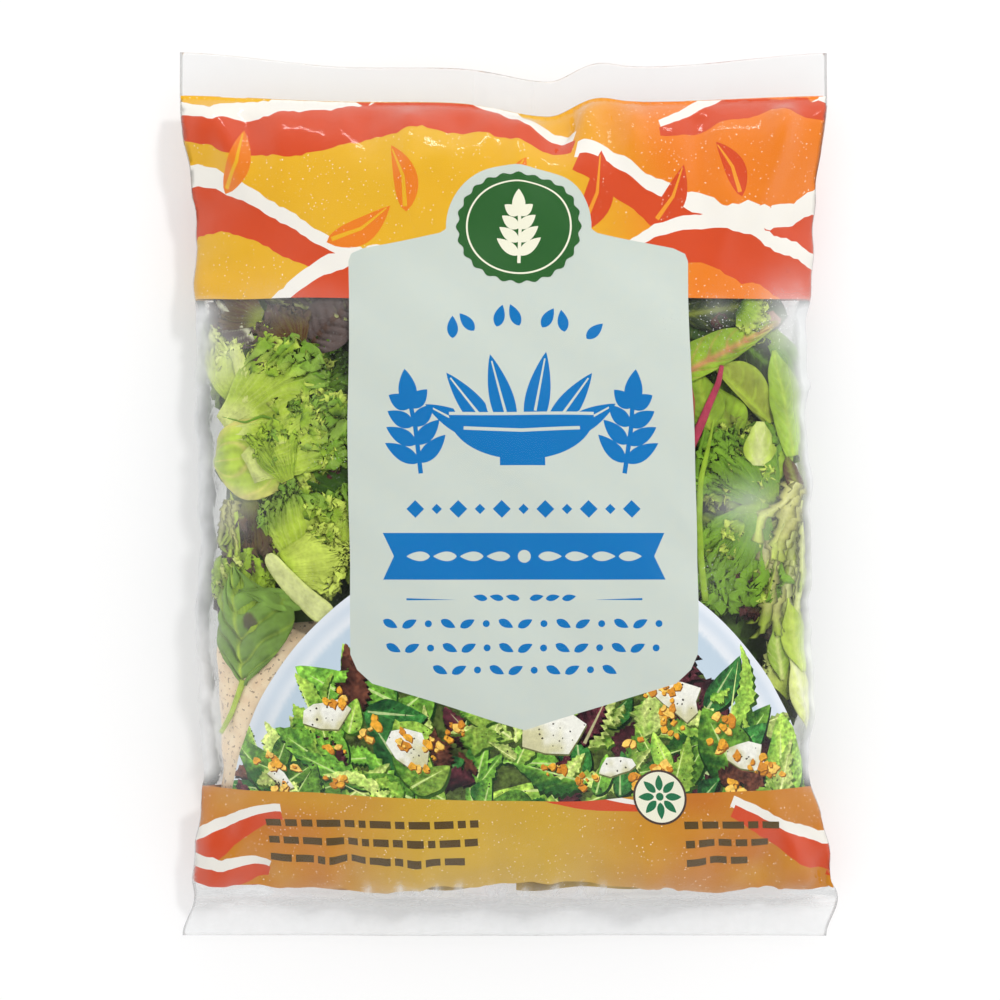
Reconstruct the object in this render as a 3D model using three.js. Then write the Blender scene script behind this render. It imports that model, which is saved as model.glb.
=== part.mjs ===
// A sealed pillow bag of salad leaves, lying on its back with the printed front up.
//
// The bag is a tube of clear film, closed by a flat seal at each end and by a lap seal along
// the back. It is one piece of film round a filling of leaves, so it is one closed solid here:
// the outer skin of the bag with its folds, and a seal as a thin slab at each end.
// X runs across the front to the right, Y runs towards the top seal, Z points out of the front.
// The origin is on the flat patch that the bag rests on, in the middle of the bag.
// All sizes are in millimetres.
import * as THREE from "three";

// Driving dimensions of the bag.
const flatWidth = 216; // the tube laid flat, which is also the width of both seals
const topEdge = 143; // distance of the top cut edge from the middle
const bottomEdge = -146; // and of the bottom cut edge
const topSealHeight = 12;
const bottomSealHeight = 13;
const fillThickness = 53; // the filled bag at its thickest
const waistWidth = 200; // the filled bag is narrower than its seals, as the film bulges
const fillMiddle = -20; // the leaves have settled below the middle of the bag
const sealThickness = 1.2; // both films and the welded rib between them
const topSealLift = 15; // the top seal stands clear of the table
const bottomSealLift = 5; // the bottom seal droops towards it
const lapSealWidth = 20; // the seal along the back
const lapSealStep = 0.9;

// How finely the film is divided.
const columnsPerQuarter = 21;
const bodyRows = 54;
const sealRows = 3;

const halfTube = flatWidth; // length of film from the middle of the front to the middle of the back
const foldLine = flatWidth / 2; // distance along the film to the side of the bag
const topSealLine = topEdge - topSealHeight;
const bottomSealLine = bottomEdge + bottomSealHeight;

const clamp = (value, low, high) => Math.min(Math.max(value, low), high);
const blend = (from, to, share) => from + (to - from) * share;

function smooth(from, to, value) {
  const share = clamp((value - from) / (to - from), 0, 1);
  return share * share * (3 - 2 * share);
}

const bell = (value, spread) => Math.exp(-((value / spread) ** 2));

// A repeatable draw between 0 and 1, so that the folds are uneven but never change.
function draw(number) {
  const wave = Math.sin(number * 12.9898 + 4.1414) * 43758.5453;
  return wave - Math.floor(wave);
}

// 0 at the middle of the filling and 1 at either seal line.
function towardsSeal(along) {
  const seal = along > fillMiddle ? topSealLine : bottomSealLine;
  return clamp((along - fillMiddle) / (seal - fillMiddle), 0, 1);
}

// The long top end tapers, and the bottom end, where the leaves lie, is blunt.
function thickness(along) {
  const share = towardsSeal(along);
  const full =
    along > fillMiddle
      ? (1 - share ** 2.5) ** 0.65
      : (1 - share ** 3.1) ** 0.58;
  return sealThickness + (fillThickness - sealThickness) * full;
}

function halfWidth(along) {
  const flare =
    along > 0
      ? clamp((along - 52) / (topSealLine - 52), 0, 1) ** 1.2
      : clamp((along + 84) / (bottomSealLine + 84), 0, 1) ** 1.3;
  return blend(waistWidth / 2, flatWidth / 2 - 0.6, flare);
}

// The filled bag leans a little to the left above and to the right below.
function sideways(along) {
  const lean = blend(-1.4, 0.4, smooth(80, -40, along));
  const foot = 2.4 * smooth(-80, -126, along);
  const tuck = -4 * smooth(bottomSealLine, bottomEdge, along);
  return lean + foot + tuck;
}

// Height of the lower film over the table: 0 where the bag rests, and rising to each seal.
function liftOff(along) {
  const top = topSealLift * smooth(66, topSealLine, along) ** 1.4;
  const bottom = bottomSealLift * smooth(-96, bottomSealLine, along);
  return top + bottom;
}

// Height of the side folds over the table, about two fifths of the way up the bag.
const sideShare = 0.42;
const sideHeight = (along) => liftOff(along) + sideShare * thickness(along);

// One section of the smooth bag: x and z at a distance round the film from the front's middle.
const sectionSteps = 96;
function section(along) {
  const wide = halfWidth(along);
  const side = sideHeight(along);
  const sharp = towardsSeal(along) ** 3;
  const roundness = blend(0.56, 1, sharp);
  const frontRise = (1 - sideShare) * thickness(along);
  const backDrop = sideShare * thickness(along);
  const flatness = blend(1.1, 1, sharp);
  const line = [];
  for (let step = 0; step <= 2 * sectionSteps; step++) {
    const onFront = step <= sectionSteps;
    const turn = (onFront ? step : 2 * sectionSteps - step) / sectionSteps;
    const across = Math.sin((turn * Math.PI) / 2);
    const x = wide * across;
    const z = onFront
      ? side + frontRise * (1 - across ** 2.3) ** roundness
      : side - backDrop * flatness * (1 - across ** 3.6) ** roundness;
    line.push({ x, z: Math.max(z, 0) });
  }
  let run = 0;
  line.forEach((point, at) => {
    const before = line[Math.max(at - 1, 0)];
    run += Math.hypot(point.x - before.x, point.z - before.z);
    point.run = run;
  });
  for (const point of line) point.run *= halfTube / run;
  return line;
}

// Sections are used many times over, so each is worked out once.
const knownSections = new Map();
function sectionAt(along) {
  if (!knownSections.has(along)) knownSections.set(along, section(along));
  return knownSections.get(along);
}

// The place on a section at a distance round the film; to the left of the middle it is negative.
function onSection(line, round) {
  const wrapped = Math.abs(round) > halfTube ? round - 2 * halfTube * Math.sign(round) : round;
  const target = Math.abs(wrapped);
  let next = 1;
  while (next < line.length - 1 && line[next].run < target) next++;
  const [a, b] = [line[next - 1], line[next]];
  const share = clamp((target - a.run) / Math.max(b.run - a.run, 1e-6), 0, 1);
  return { x: Math.sign(wrapped) * blend(a.x, b.x, share), z: blend(a.z, b.z, share) };
}

// Long creases in the film. Each starts at a place on the film and runs at an angle; across
// counts round the tube from the middle of the front, and along counts towards the top.
const creases = [];

function addCrease(across, along, angle, length, width, height) {
  const turn = (angle * Math.PI) / 180;
  creases.push({
    across,
    along,
    stepAcross: Math.sin(turn),
    stepAlong: Math.cos(turn),
    length,
    width,
    height,
  });
}

// The deep buckle in the top edge, right of the middle, with its sharp bright ridge.
const buckleAcross = 15;
addCrease(buckleAcross - 17, 136, 128, 24, 3.6, 2.6);
addCrease(buckleAcross + 4, 134, 172, 26, 5.5, -2.6);
addCrease(buckleAcross + 15, 134, 196, 22, 4, 2.4);
// Diagonal folds that run in from the four corners, where the flat seal pulls on the full bag.
addCrease(-100, -130, 24, 40, 4.2, 2.6);
addCrease(-84, -130, -28, 30, 4.0, -1.9);
addCrease(99, -129, -22, 44, 4.4, 2.6);
addCrease(80, -129, 30, 30, 4.2, -1.8);
addCrease(-98, 128, 158, 42, 4.4, 2.2);
addCrease(97, 128, 200, 46, 4.6, 2.3);
// Shallow tension lines in the front panel.
addCrease(-9, 118, 245, 46, 4.6, 1.1);
addCrease(76, 104, 190, 40, 4.5, 1.2);
addCrease(-92, 60, 178, 60, 5.5, -1.2);
addCrease(88, -20, 182, 70, 6, 1.2);

// Puckers that fan in from each end seal, on the front and on the back.
const puckersPerEnd = 22;
const puckerWidth = 4.4;
for (let number = 0; number < 2 * puckersPerEnd; number++) {
  const atTop = number < puckersPerEnd;
  const place = (number % puckersPerEnd) + 0.5 + 0.7 * (draw(number) - 0.5);
  const across = ((2 * place) / puckersPerEnd - 1) * halfTube;
  const fan = 16 * (draw(number + 90) - 0.5);
  const length = 18 + 28 * draw(number + 30) ** 2;
  const height = (number % 2 ? 1 : -1) * (1.3 + 1.1 * draw(number + 60));
  const start = atTop ? topSealLine - 2 : bottomSealLine + 2;
  addCrease(across, start, atTop ? 180 + fan : fan, length, puckerWidth, height);
}

function creaseHeight(across, along) {
  let height = 0;
  for (const crease of creases) {
    let offAcross = across - crease.across;
    if (offAcross > halfTube) offAcross -= 2 * halfTube;
    if (offAcross < -halfTube) offAcross += 2 * halfTube;
    const offAlong = along - crease.along;
    const run = offAcross * crease.stepAcross + offAlong * crease.stepAlong;
    const off = offAcross * crease.stepAlong - offAlong * crease.stepAcross;
    const ends =
      smooth(-3, 5, run) * (1 - smooth(crease.length * 0.35, crease.length, run));
    if (ends > 0) height += crease.height * ends * bell(off, crease.width);
  }
  return height;
}

// Leaves push the film out in low uneven lumps.
function lumps(across, along) {
  const broad = Math.sin(0.083 * across + 0.7) * Math.sin(0.071 * along + 1.1);
  const slanted = Math.sin(0.112 * across - 0.093 * along + 2.3);
  const small = Math.sin(0.171 * across + 0.06 * along) * Math.sin(0.157 * along + 0.4);
  return 1.0 * broad + 0.55 * slanted + 0.45 * small;
}

// The side folds gather into soft uneven buckles, because the middle of the bag is the fullest.
function sideBuckles(across, along) {
  const atSide = bell(Math.abs(across) - foldLine, 16);
  const phase = across > 0 ? 0.4 : 2.2;
  const slow = Math.sin(0.17 * along + phase + 1.4 * Math.sin(0.043 * along));
  return atSide * (0.55 * slow + 0.3 * Math.sin(0.41 * along - phase));
}

function relief(across, along) {
  const full = smooth(sealThickness, 0.75 * fillThickness, thickness(along));
  const toEnd = Math.min(topSealLine - along, along - bottomSealLine);
  const free = smooth(0, 6, toEnd);
  const soft = lumps(across, along) + sideBuckles(across, along);
  return full * soft + free * creaseHeight(across, along);
}

// The cut edges are wavy: the top one flares up at both corners and dips at the buckle.
function shiftAlong(across, along) {
  const onFront = Math.abs(across) <= foldLine;
  const place = onFront ? across : Math.sign(across) * (2 * foldLine - Math.abs(across));
  const corner = smooth(48, foldLine, Math.abs(place));
  const off = place - buckleAcross;
  const dip = -5 * bell(off, off < 0 ? 20 : 9);
  const shoulder = 1.4 * bell(off - 17, 7);
  const flare = corner * blend(1.9, 4.8, smooth(topSealLine, topEdge, along));
  return smooth(92, topSealLine, along) * (flare + dip + shoulder);
}

// The seals are thin slabs that curl a little out of their plane.
function sealCurl(x, along) {
  const top = smooth(topSealLine - 14, topEdge, along);
  const bottom = smooth(bottomSealLine + 6, bottomEdge, along);
  const atTop = 2.2 * Math.sin(0.041 * x + 0.6) + 1.1 * Math.sin(0.103 * x + 1.9);
  const atBottom = 1.1 * Math.sin(0.05 * x + 2.4) + 0.5 * Math.sin(0.13 * x);
  return top * (atTop - 1.5) + bottom * (atBottom - 1.2);
}

// The lap seal stands out as a low band down the middle of the back.
function lapSeal(across) {
  const fromMiddle = halfTube - Math.abs(across);
  return lapSealStep * (1 - smooth(lapSealWidth / 2 - 1, lapSealWidth / 2 + 2, fromMiddle));
}

// The bag before its folds and lumps.
function smoothFilm(across, along) {
  const place = onSection(sectionAt(along), across);
  const y = along + shiftAlong(across, along);
  return new THREE.Vector3(place.x + sideways(along), y, place.z + sealCurl(place.x, along));
}

// The direction out of the bag, from how the film runs on either side of the point.
function outOfFilm(across, along) {
  const reach = 1.5;
  const low = clamp(along - reach, bottomEdge, topEdge);
  const high = clamp(along + reach, bottomEdge, topEdge);
  const round = smoothFilm(across + reach, along).sub(smoothFilm(across - reach, along));
  const up = smoothFilm(across, high).sub(smoothFilm(across, low));
  return round.cross(up).normalize();
}

function filmPoint(across, along) {
  const point = smoothFilm(across, along);
  const onBack = Math.abs(across) > foldLine;
  const clearOfTable = onBack ? smooth(0, 3, point.z) : 1;
  const out = relief(across, along) + (onBack ? lapSeal(across) : 0);
  point.addScaledVector(outOfFilm(across, along), out * clearOfTable);
  const middle = sideHeight(along) + sealCurl(point.x, along);
  const slab = sealThickness / 2;
  point.z = onBack ? Math.min(point.z, middle - slab) : Math.max(point.z, middle + slab);
  point.z = Math.max(point.z, 0);
  return point;
}

// Places along the bag, closer together towards each seal.
function rowPlaces() {
  const places = [];
  for (let row = 0; row < sealRows; row++) {
    places.push(blend(bottomEdge, bottomSealLine, row / sealRows));
  }
  for (let row = 0; row <= bodyRows; row++) {
    const share = row / bodyRows;
    const eased = blend(share, (1 - Math.cos(Math.PI * share)) / 2, 0.45);
    places.push(blend(bottomSealLine, topSealLine, eased));
  }
  for (let row = 1; row <= sealRows; row++) {
    places.push(blend(topSealLine, topEdge, row / sealRows));
  }
  return places;
}

// Places round the tube, closer together towards the two side folds.
function columnPlaces() {
  const quarter = [];
  for (let column = 0; column < columnsPerQuarter; column++) {
    const share = column / columnsPerQuarter;
    quarter.push(foldLine * blend(share, Math.sin((Math.PI * share) / 2), 0.35));
  }
  const back = [foldLine, ...quarter.slice(1).reverse().map((place) => 2 * foldLine - place)];
  const right = [...quarter, ...back];
  const left = right.slice(1).map((place) => -place).reverse();
  return [...right, halfTube, ...left];
}

function bagGeometry() {
  const rows = rowPlaces();
  const columns = columnPlaces();
  const count = columns.length;
  const positions = [];
  for (const along of rows) {
    for (const across of columns) positions.push(...filmPoint(across, along).toArray());
  }
  const faces = [];
  for (let row = 0; row < rows.length - 1; row++) {
    for (let column = 0; column < count; column++) {
      const beside = (column + 1) % count;
      const [a, b] = [row * count + column, row * count + beside];
      const [c, d] = [a + count, b + count];
      faces.push(a, b, d, a, d, c);
    }
  }
  closeEnd(faces, 0, count, false);
  closeEnd(faces, (rows.length - 1) * count, count, true);
  const geometry = new THREE.BufferGeometry();
  geometry.setAttribute("position", new THREE.Float32BufferAttribute(positions, 3));
  geometry.setIndex(faces);
  geometry.computeVertexNormals();
  return geometry;
}

// A cut edge is a strip between the front film and the back film. Column 0 is the middle of the
// front and the columns run round to the right, so a front column's partner on the back is the
// one as far from the right-hand fold on the other side of it.
function closeEnd(faces, first, count, isTop) {
  const rightFold = columnsPerQuarter;
  const partner = (column) => first + ((2 * rightFold - column + count) % count);
  const front = (column) => first + ((column + count) % count);
  for (let step = 0; step < count / 2; step++) {
    const column = rightFold - step;
    const corners = [front(column), front(column - 1), partner(column - 1), partner(column)];
    const triangles = [
      [corners[0], corners[1], corners[2]],
      [corners[0], corners[2], corners[3]],
    ];
    for (const [a, b, c] of triangles) {
      if (a === b || b === c || a === c) continue;
      faces.push(...(isTop ? [a, c, b] : [a, b, c]));
    }
  }
}

const film = new THREE.MeshStandardMaterial({
  color: new THREE.Color(0.72, 0.76, 0.6),
  roughness: 0.25,
  metalness: 0,
  side: THREE.DoubleSide,
});

const saladBag = new THREE.Mesh(bagGeometry(), film);
saladBag.name = "salad_bag";

const object = new THREE.Group();
object.name = "salad_kit";
object.add(saladBag);

export default object;
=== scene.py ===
# A sealed bag of mixed salad: clear printed film over leaves, lying on its back.
# Shapes are worked out in millimetres and go into the meshes in metres.
import math

import bpy
import numpy as np
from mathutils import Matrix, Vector
from mathutils.geometry import delaunay_2d_cdt


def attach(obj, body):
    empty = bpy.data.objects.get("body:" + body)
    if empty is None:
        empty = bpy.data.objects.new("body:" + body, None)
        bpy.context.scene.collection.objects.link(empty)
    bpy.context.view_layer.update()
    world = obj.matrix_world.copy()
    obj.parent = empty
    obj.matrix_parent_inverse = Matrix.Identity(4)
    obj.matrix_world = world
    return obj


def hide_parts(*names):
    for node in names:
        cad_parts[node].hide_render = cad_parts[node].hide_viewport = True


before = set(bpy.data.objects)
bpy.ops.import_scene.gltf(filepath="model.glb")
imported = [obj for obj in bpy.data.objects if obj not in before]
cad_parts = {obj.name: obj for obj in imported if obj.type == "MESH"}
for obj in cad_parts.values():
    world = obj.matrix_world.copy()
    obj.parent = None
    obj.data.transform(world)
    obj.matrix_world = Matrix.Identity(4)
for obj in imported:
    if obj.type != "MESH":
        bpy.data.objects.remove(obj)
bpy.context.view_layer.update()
metres = 0.001  # one millimetre


# Small tools

def smooth(low, high, value):
    share = np.clip((value - low) / (high - low), 0, 1)
    return share * share * (3 - 2 * share)


def bell(value, spread):
    return np.exp(-((value / spread) ** 2))


def mix(start, end, share):
    return start + (end - start) * share


def srgb(red, green, blue):
    share = np.array([red, green, blue]) / 255
    return np.where(share <= 0.04045, share / 12.92, ((share + 0.055) / 1.055) ** 2.4)


def tinted(start, end, share):  # mixes two colours by a share for every point
    return start + (end - start) * np.asarray(share)[..., None]


noiseSize = 64
noiseTable = np.random.default_rng(11).uniform(-1, 1, (noiseSize, noiseSize))


def noise(x, y):  # smooth uneven waves between -1 and 1, one unit wide
    x, y = np.broadcast_arrays(np.asarray(x, float), np.asarray(y, float))
    column, row = np.floor(x).astype(int), np.floor(y).astype(int)
    sideX, sideY = x - column, y - row
    sideX = sideX * sideX * (3 - 2 * sideX)
    sideY = sideY * sideY * (3 - 2 * sideY)
    a = noiseTable[column % noiseSize, row % noiseSize]
    b = noiseTable[(column + 1) % noiseSize, row % noiseSize]
    c = noiseTable[column % noiseSize, (row + 1) % noiseSize]
    d = noiseTable[(column + 1) % noiseSize, (row + 1) % noiseSize]
    return mix(mix(a, b, sideX), mix(c, d, sideX), sideY)


# The form of the filled bag. Across counts round the film from the middle of the front, and
# along counts towards the top seal.

bag = {
    "flatWidth": 216, "topEdge": 143, "bottomEdge": -146, "topSeal": 12, "bottomSeal": 13,
    "fill": 53, "slab": 1.2, "waist": 200, "waistTop": 52, "waistFoot": -84, "fillMiddle": -20,
    "sideShare": 0.42, "leanTop": -1.4, "leanFoot": 0.4, "footShift": 2.4, "sealShift": -4.0, "topLift": 15,
    "bottomLift": 5, "lapWidth": 20, "lapStep": 0.9, "sealFilm": 0.5, "leftBulge": 2.6,
}
halfTube = bag["flatWidth"]
foldLine = halfTube / 2
topSealLine = bag["topEdge"] - bag["topSeal"]
bottomSealLine = bag["bottomEdge"] + bag["bottomSeal"]


def towardsSeal(along):
    above = (along - bag["fillMiddle"]) / (topSealLine - bag["fillMiddle"])
    below = (along - bag["fillMiddle"]) / (bottomSealLine - bag["fillMiddle"])
    return np.clip(np.where(along > bag["fillMiddle"], above, below), 0, 1)


def thickness(along):
    share = towardsSeal(along)
    full = np.where(along > bag["fillMiddle"], (1 - share**2.5) ** 0.65, (1 - share**3.1) ** 0.58)
    return mix(bag["slab"], bag["fill"], full)


def halfWidth(along):
    above = np.clip((along - bag["waistTop"]) / (topSealLine - bag["waistTop"]), 0, 1) ** 1.2
    below = np.clip((along - bag["waistFoot"]) / (bottomSealLine - bag["waistFoot"]), 0, 1) ** 1.3
    return mix(bag["waist"] / 2, foldLine - 0.6, np.where(along > 0, above, below))


def sideways(along):
    lean = mix(bag["leanTop"], bag["leanFoot"], smooth(80, -40, along))
    foot = bag["footShift"] * smooth(-80, -126, along)
    return lean + foot + bag["sealShift"] * smooth(bottomSealLine, bag["bottomEdge"], along)


def sideHeight(along):
    top = bag["topLift"] * smooth(66, topSealLine, along) ** 1.4
    bottom = bag["bottomLift"] * smooth(-96, bottomSealLine, along)
    return top + bottom + bag["sideShare"] * thickness(along)


tableStep = 0.5  # millimetres between the entries of the section table
tableAlong = np.arange(bag["bottomEdge"], bag["topEdge"] + 0.1, tableStep)
tableAcross = np.arange(0, halfTube + 0.1, tableStep)


def sectionTable():
    along = tableAlong[:, None]
    turn = np.linspace(0, 1, 97)
    front = np.sin(turn * math.pi / 2)[None, :]
    back = front[:, -2::-1]
    wide, side, full = halfWidth(along), sideHeight(along), thickness(along)
    sharp = towardsSeal(along) ** 3
    rise = (1 - bag["sideShare"]) * full * (1 - front**2.3) ** mix(0.56, 1, sharp)
    drop = bag["sideShare"] * full * mix(1.1, 1, sharp) * (1 - back**3.6) ** mix(0.56, 1, sharp)
    x = wide * np.hstack([front, back])[0][None, :]
    z = np.maximum(np.hstack([side + rise, side - drop]), 0)
    step = np.hypot(np.diff(x, axis=1), np.diff(z, axis=1))
    run = np.hstack([np.zeros((len(along), 1)), np.cumsum(step, axis=1)])
    run *= halfTube / run[:, -1:]
    places = [(np.interp(tableAcross, r, a), np.interp(tableAcross, r, b)) for r, a, b in zip(run, x, z)]
    return np.array([p[0] for p in places]), np.array([p[1] for p in places])


tableX, tableZ = sectionTable()


def wrapped(across):
    return (across + halfTube) % (2 * halfTube) - halfTube


def lookUp(table, across, along):
    column = np.clip(np.abs(across) / tableStep, 0, len(tableAcross) - 1.001)
    row = np.clip((along - tableAlong[0]) / tableStep, 0, len(tableAlong) - 1.001)
    c, r = column.astype(int), row.astype(int)
    shareC, shareR = column - c, row - r
    low = mix(table[r, c], table[r, c + 1], shareC)
    high = mix(table[r + 1, c], table[r + 1, c + 1], shareC)
    return mix(low, high, shareR)


creases = []  # the long folds of the film
fineCreases = []  # and its small wrinkles


def addCrease(across, along, angle, length, width, height, lines=creases):
    turn = math.radians(angle)
    lines.append((across, along, math.sin(turn), math.cos(turn), length, width, height))


def draw(number):  # a repeatable draw between 0 and 1
    wave = math.sin(number * 12.9898 + 4.1414) * 43758.5453
    return wave - math.floor(wave)


buckle = 15  # the deep buckle in the top edge, right of the middle
longFolds = [
    (buckle - 17, 136, 128, 24, 3.6, 2.6), (buckle + 4, 134, 172, 26, 5.5, -2.6),
    (buckle + 15, 134, 196, 22, 4, 2.4),
    (-100, -130, 24, 40, 4.2, 2.6), (-84, -130, -28, 30, 4.0, -1.9),
    (99, -129, -22, 44, 4.4, 2.6), (80, -129, 30, 30, 4.2, -1.8),
    (-98, 128, 158, 42, 4.4, 2.2), (97, 128, 200, 46, 4.6, 2.3),
    (-9, 118, 245, 46, 4.6, 1.1), (76, 104, 190, 40, 4.5, 1.2),
    (-92, 60, 178, 60, 5.5, -1.2), (88, -20, 182, 70, 6, 1.2),
]
for fold in longFolds:
    addCrease(*fold)

puckersPerEnd = 22
for number in range(2 * puckersPerEnd):
    atTop = number < puckersPerEnd
    place = number % puckersPerEnd + 0.5 + 0.7 * (draw(number) - 0.5)
    across = (2 * place / puckersPerEnd - 1) * halfTube
    fan = 16 * (draw(number + 90) - 0.5)
    length = 18 + 28 * draw(number + 30) ** 2
    height = (1 if number % 2 else -1) * (1.3 + 1.1 * draw(number + 60))
    start = topSealLine - 2 if atTop else bottomSealLine + 2
    addCrease(across, start, 180 + fan if atTop else fan, length, 4.4, height)


wrinkling = {"perSeal": 74, "sideReach": 112, "sideGap": 5.5, "tension": 26}


def addWrinkles():
    rng = np.random.default_rng(4)
    for atTop in (True, False):
        start = topSealLine + 2 if atTop else bottomSealLine - 1
        for place in np.linspace(-halfTube, halfTube, wrinkling["perSeal"], endpoint=False):
            across = place + rng.uniform(-3, 3)
            angle = rng.normal(180 if atTop else 0, 17)
            length = rng.uniform(7, 26)
            addCrease(across, start, angle, length, rng.uniform(1.1, 2.2), rng.normal(0, 0.42), fineCreases)
    for side in (-1, 1):  # short creases that run in from the side folds
        for along in np.arange(-wrinkling["sideReach"], wrinkling["sideReach"], wrinkling["sideGap"]):
            across = side * (foldLine + rng.uniform(-9, 6))
            angle = -side * rng.normal(92, 14)
            length = rng.uniform(10, 28)
            place = along + rng.uniform(-2.5, 2.5)
            addCrease(across, place, angle, length, rng.uniform(1.3, 2.6), rng.normal(0, 0.4), fineCreases)
    for _ in range(wrinkling["tension"]):  # faint tension lines over the front and the back
        across, along = rng.uniform(-halfTube, halfTube), rng.uniform(-100, 100)
        angle = rng.choice([rng.normal(35, 14), rng.normal(150, 14)])
        length, width, height = rng.uniform(18, 46), rng.uniform(1.6, 2.8), rng.normal(0, 0.25)
        addCrease(across, along, angle, length, width, height, fineCreases)


addWrinkles()


def creaseHeight(across, along, lines):
    height = np.zeros(len(across))
    for startAcross, startAlong, stepAcross, stepAlong, length, width, rise in lines:
        reach = length + 4 * width
        near = np.abs(along - startAlong) < reach
        near &= np.abs(wrapped(across - startAcross)) < reach
        offAcross = wrapped(across[near] - startAcross)
        offAlong = along[near] - startAlong
        run = offAcross * stepAcross + offAlong * stepAlong
        off = offAcross * stepAlong - offAlong * stepAcross
        ends = smooth(-3, 5, run) * (1 - smooth(length * 0.35, length, run))
        height[near] += rise * ends * bell(off, width)
    return height


def relief(across, along, wrinkles):
    broad = np.sin(0.083 * across + 0.7) * np.sin(0.071 * along + 1.1)
    slanted = np.sin(0.112 * across - 0.093 * along + 2.3)
    small = np.sin(0.171 * across + 0.06 * along) * np.sin(0.157 * along + 0.4)
    atSide = bell(np.abs(across) - foldLine, 16)
    phase = np.where(across > 0, 0.4, 2.2)
    slow = np.sin(0.17 * along + phase + 1.4 * np.sin(0.043 * along))
    sideBuckles = atSide * (0.55 * slow + 0.3 * np.sin(0.41 * along - phase))
    full = smooth(bag["slab"], 0.75 * bag["fill"], thickness(along))
    toEnd = np.minimum(topSealLine - along, along - bottomSealLine)
    free = smooth(0, 6, toEnd)
    height = full * (broad + 0.55 * slanted + 0.45 * small + sideBuckles)
    height += free * creaseHeight(across, along, creases)
    if wrinkles:
        height += creaseHeight(across, along, fineCreases) * mix(0.12, 1, smooth(-2, 5, toEnd))
    return height


def shiftAlong(across, along):
    place = np.where(np.abs(across) <= foldLine, across, np.sign(across) * (halfTube - np.abs(across)))
    corner = smooth(48, foldLine, np.abs(place))
    off = place - buckle
    dip = -5 * np.where(off < 0, bell(off, 20), bell(off, 9))
    flare = corner * mix(1.9, 4.8, smooth(topSealLine, bag["topEdge"], along))
    return smooth(92, topSealLine, along) * (flare + dip + 1.4 * bell(off - 17, 7))


def sealCurl(x, along):
    top = smooth(topSealLine - 14, bag["topEdge"], along)
    bottom = smooth(bottomSealLine + 6, bag["bottomEdge"], along)
    atTop = 2.2 * np.sin(0.041 * x + 0.6) + 1.1 * np.sin(0.103 * x + 1.9)
    atBottom = 1.1 * np.sin(0.05 * x + 2.4) + 0.5 * np.sin(0.13 * x)
    return top * (atTop - 1.5) + bottom * (atBottom - 1.2)


def smoothFilm(across, along):
    across = wrapped(across)
    x = np.sign(across) * lookUp(tableX, across, along)
    z = lookUp(tableZ, across, along) + sealCurl(x, along)
    bulge = bag["leftBulge"] * smooth(-55, -98, x) * smooth(70, 40, along) * smooth(-125, -95, along)
    return np.stack([x - bulge + sideways(along), along + shiftAlong(across, along), z], axis=1)


def outOfFilm(across, along):
    reach = 1.5
    low = np.clip(along - reach, bag["bottomEdge"], bag["topEdge"])
    high = np.clip(along + reach, bag["bottomEdge"], bag["topEdge"])
    around = smoothFilm(across + reach, along) - smoothFilm(across - reach, along)
    out = np.cross(around, smoothFilm(across, high) - smoothFilm(across, low))
    return out / np.linalg.norm(out, axis=1, keepdims=True)


def filmPoints(across, along, depth=0.0, wrinkles=True):  # places at a depth under the film
    across, along = wrapped(np.asarray(across, float)), np.asarray(along, float)
    point = smoothFilm(across, along)
    onBack = np.abs(across) > foldLine
    fromMiddle = halfTube - np.abs(across)
    lap = bag["lapStep"] * (1 - smooth(bag["lapWidth"] / 2 - 1, bag["lapWidth"] / 2 + 2, fromMiddle))
    clear = np.where(onBack, smooth(0, 3, point[:, 2]), 1)
    out = (relief(across, along, wrinkles) + np.where(onBack, lap, 0)) * clear - depth
    point += outOfFilm(across, along) * out[:, None]
    middle = sideHeight(along) + sealCurl(point[:, 0], along)
    slab = bag["sealFilm"] / 2 * np.where(depth > 0, 0.3, 1)
    z = np.where(onBack, np.minimum(point[:, 2], middle - slab), np.maximum(point[:, 2], middle + slab))
    point[:, 2] = np.maximum(z, np.where(onBack, np.minimum(depth, 6), 0))
    return point


def fromFront(x, y):  # film places that lie at x and y in the front view
    across, along = np.array(x, float), np.array(y, float)
    for _ in range(14):
        seen = smoothFilm(across, along)
        across = np.clip(across + x - seen[:, 0], -foldLine + 0.5, foldLine - 0.5)
        along = along + y - seen[:, 1]
    return across, along


# Meshes and materials

def tubeFaces(rows, count):  # quads between rings of points
    faces = []
    for row in range(rows - 1):
        for column in range(count):
            a, b = row * count + column, row * count + (column + 1) % count
            faces.append((a, b, b + count, a + count))
    return faces


def makePiece(name, points, faces, material, tint=None, corners=None, extra=None):
    mesh = bpy.data.meshes.new(name)
    mesh.from_pydata((np.asarray(points) * metres).tolist(), [], faces)
    mesh.validate()
    mesh.polygons.foreach_set("use_smooth", [True] * len(mesh.polygons))
    if tint is not None:
        layer = mesh.color_attributes.new("tint", "FLOAT_COLOR", "POINT")
        layer.data.foreach_set("color", np.column_stack([tint, np.ones(len(tint))]).ravel())
    if corners is not None:
        layer = mesh.color_attributes.new("tint", "FLOAT_COLOR", "CORNER")
        layer.data.foreach_set("color", np.asarray(corners).ravel())
    for label, values in (extra or {}).items():
        mesh.attributes.new(label, "FLOAT", "POINT").data.foreach_set("value", values)
    mesh.materials.append(material)
    piece = bpy.data.objects.new(name, mesh)
    bpy.context.scene.collection.objects.link(piece)
    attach(piece, "root")
    return piece


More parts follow.
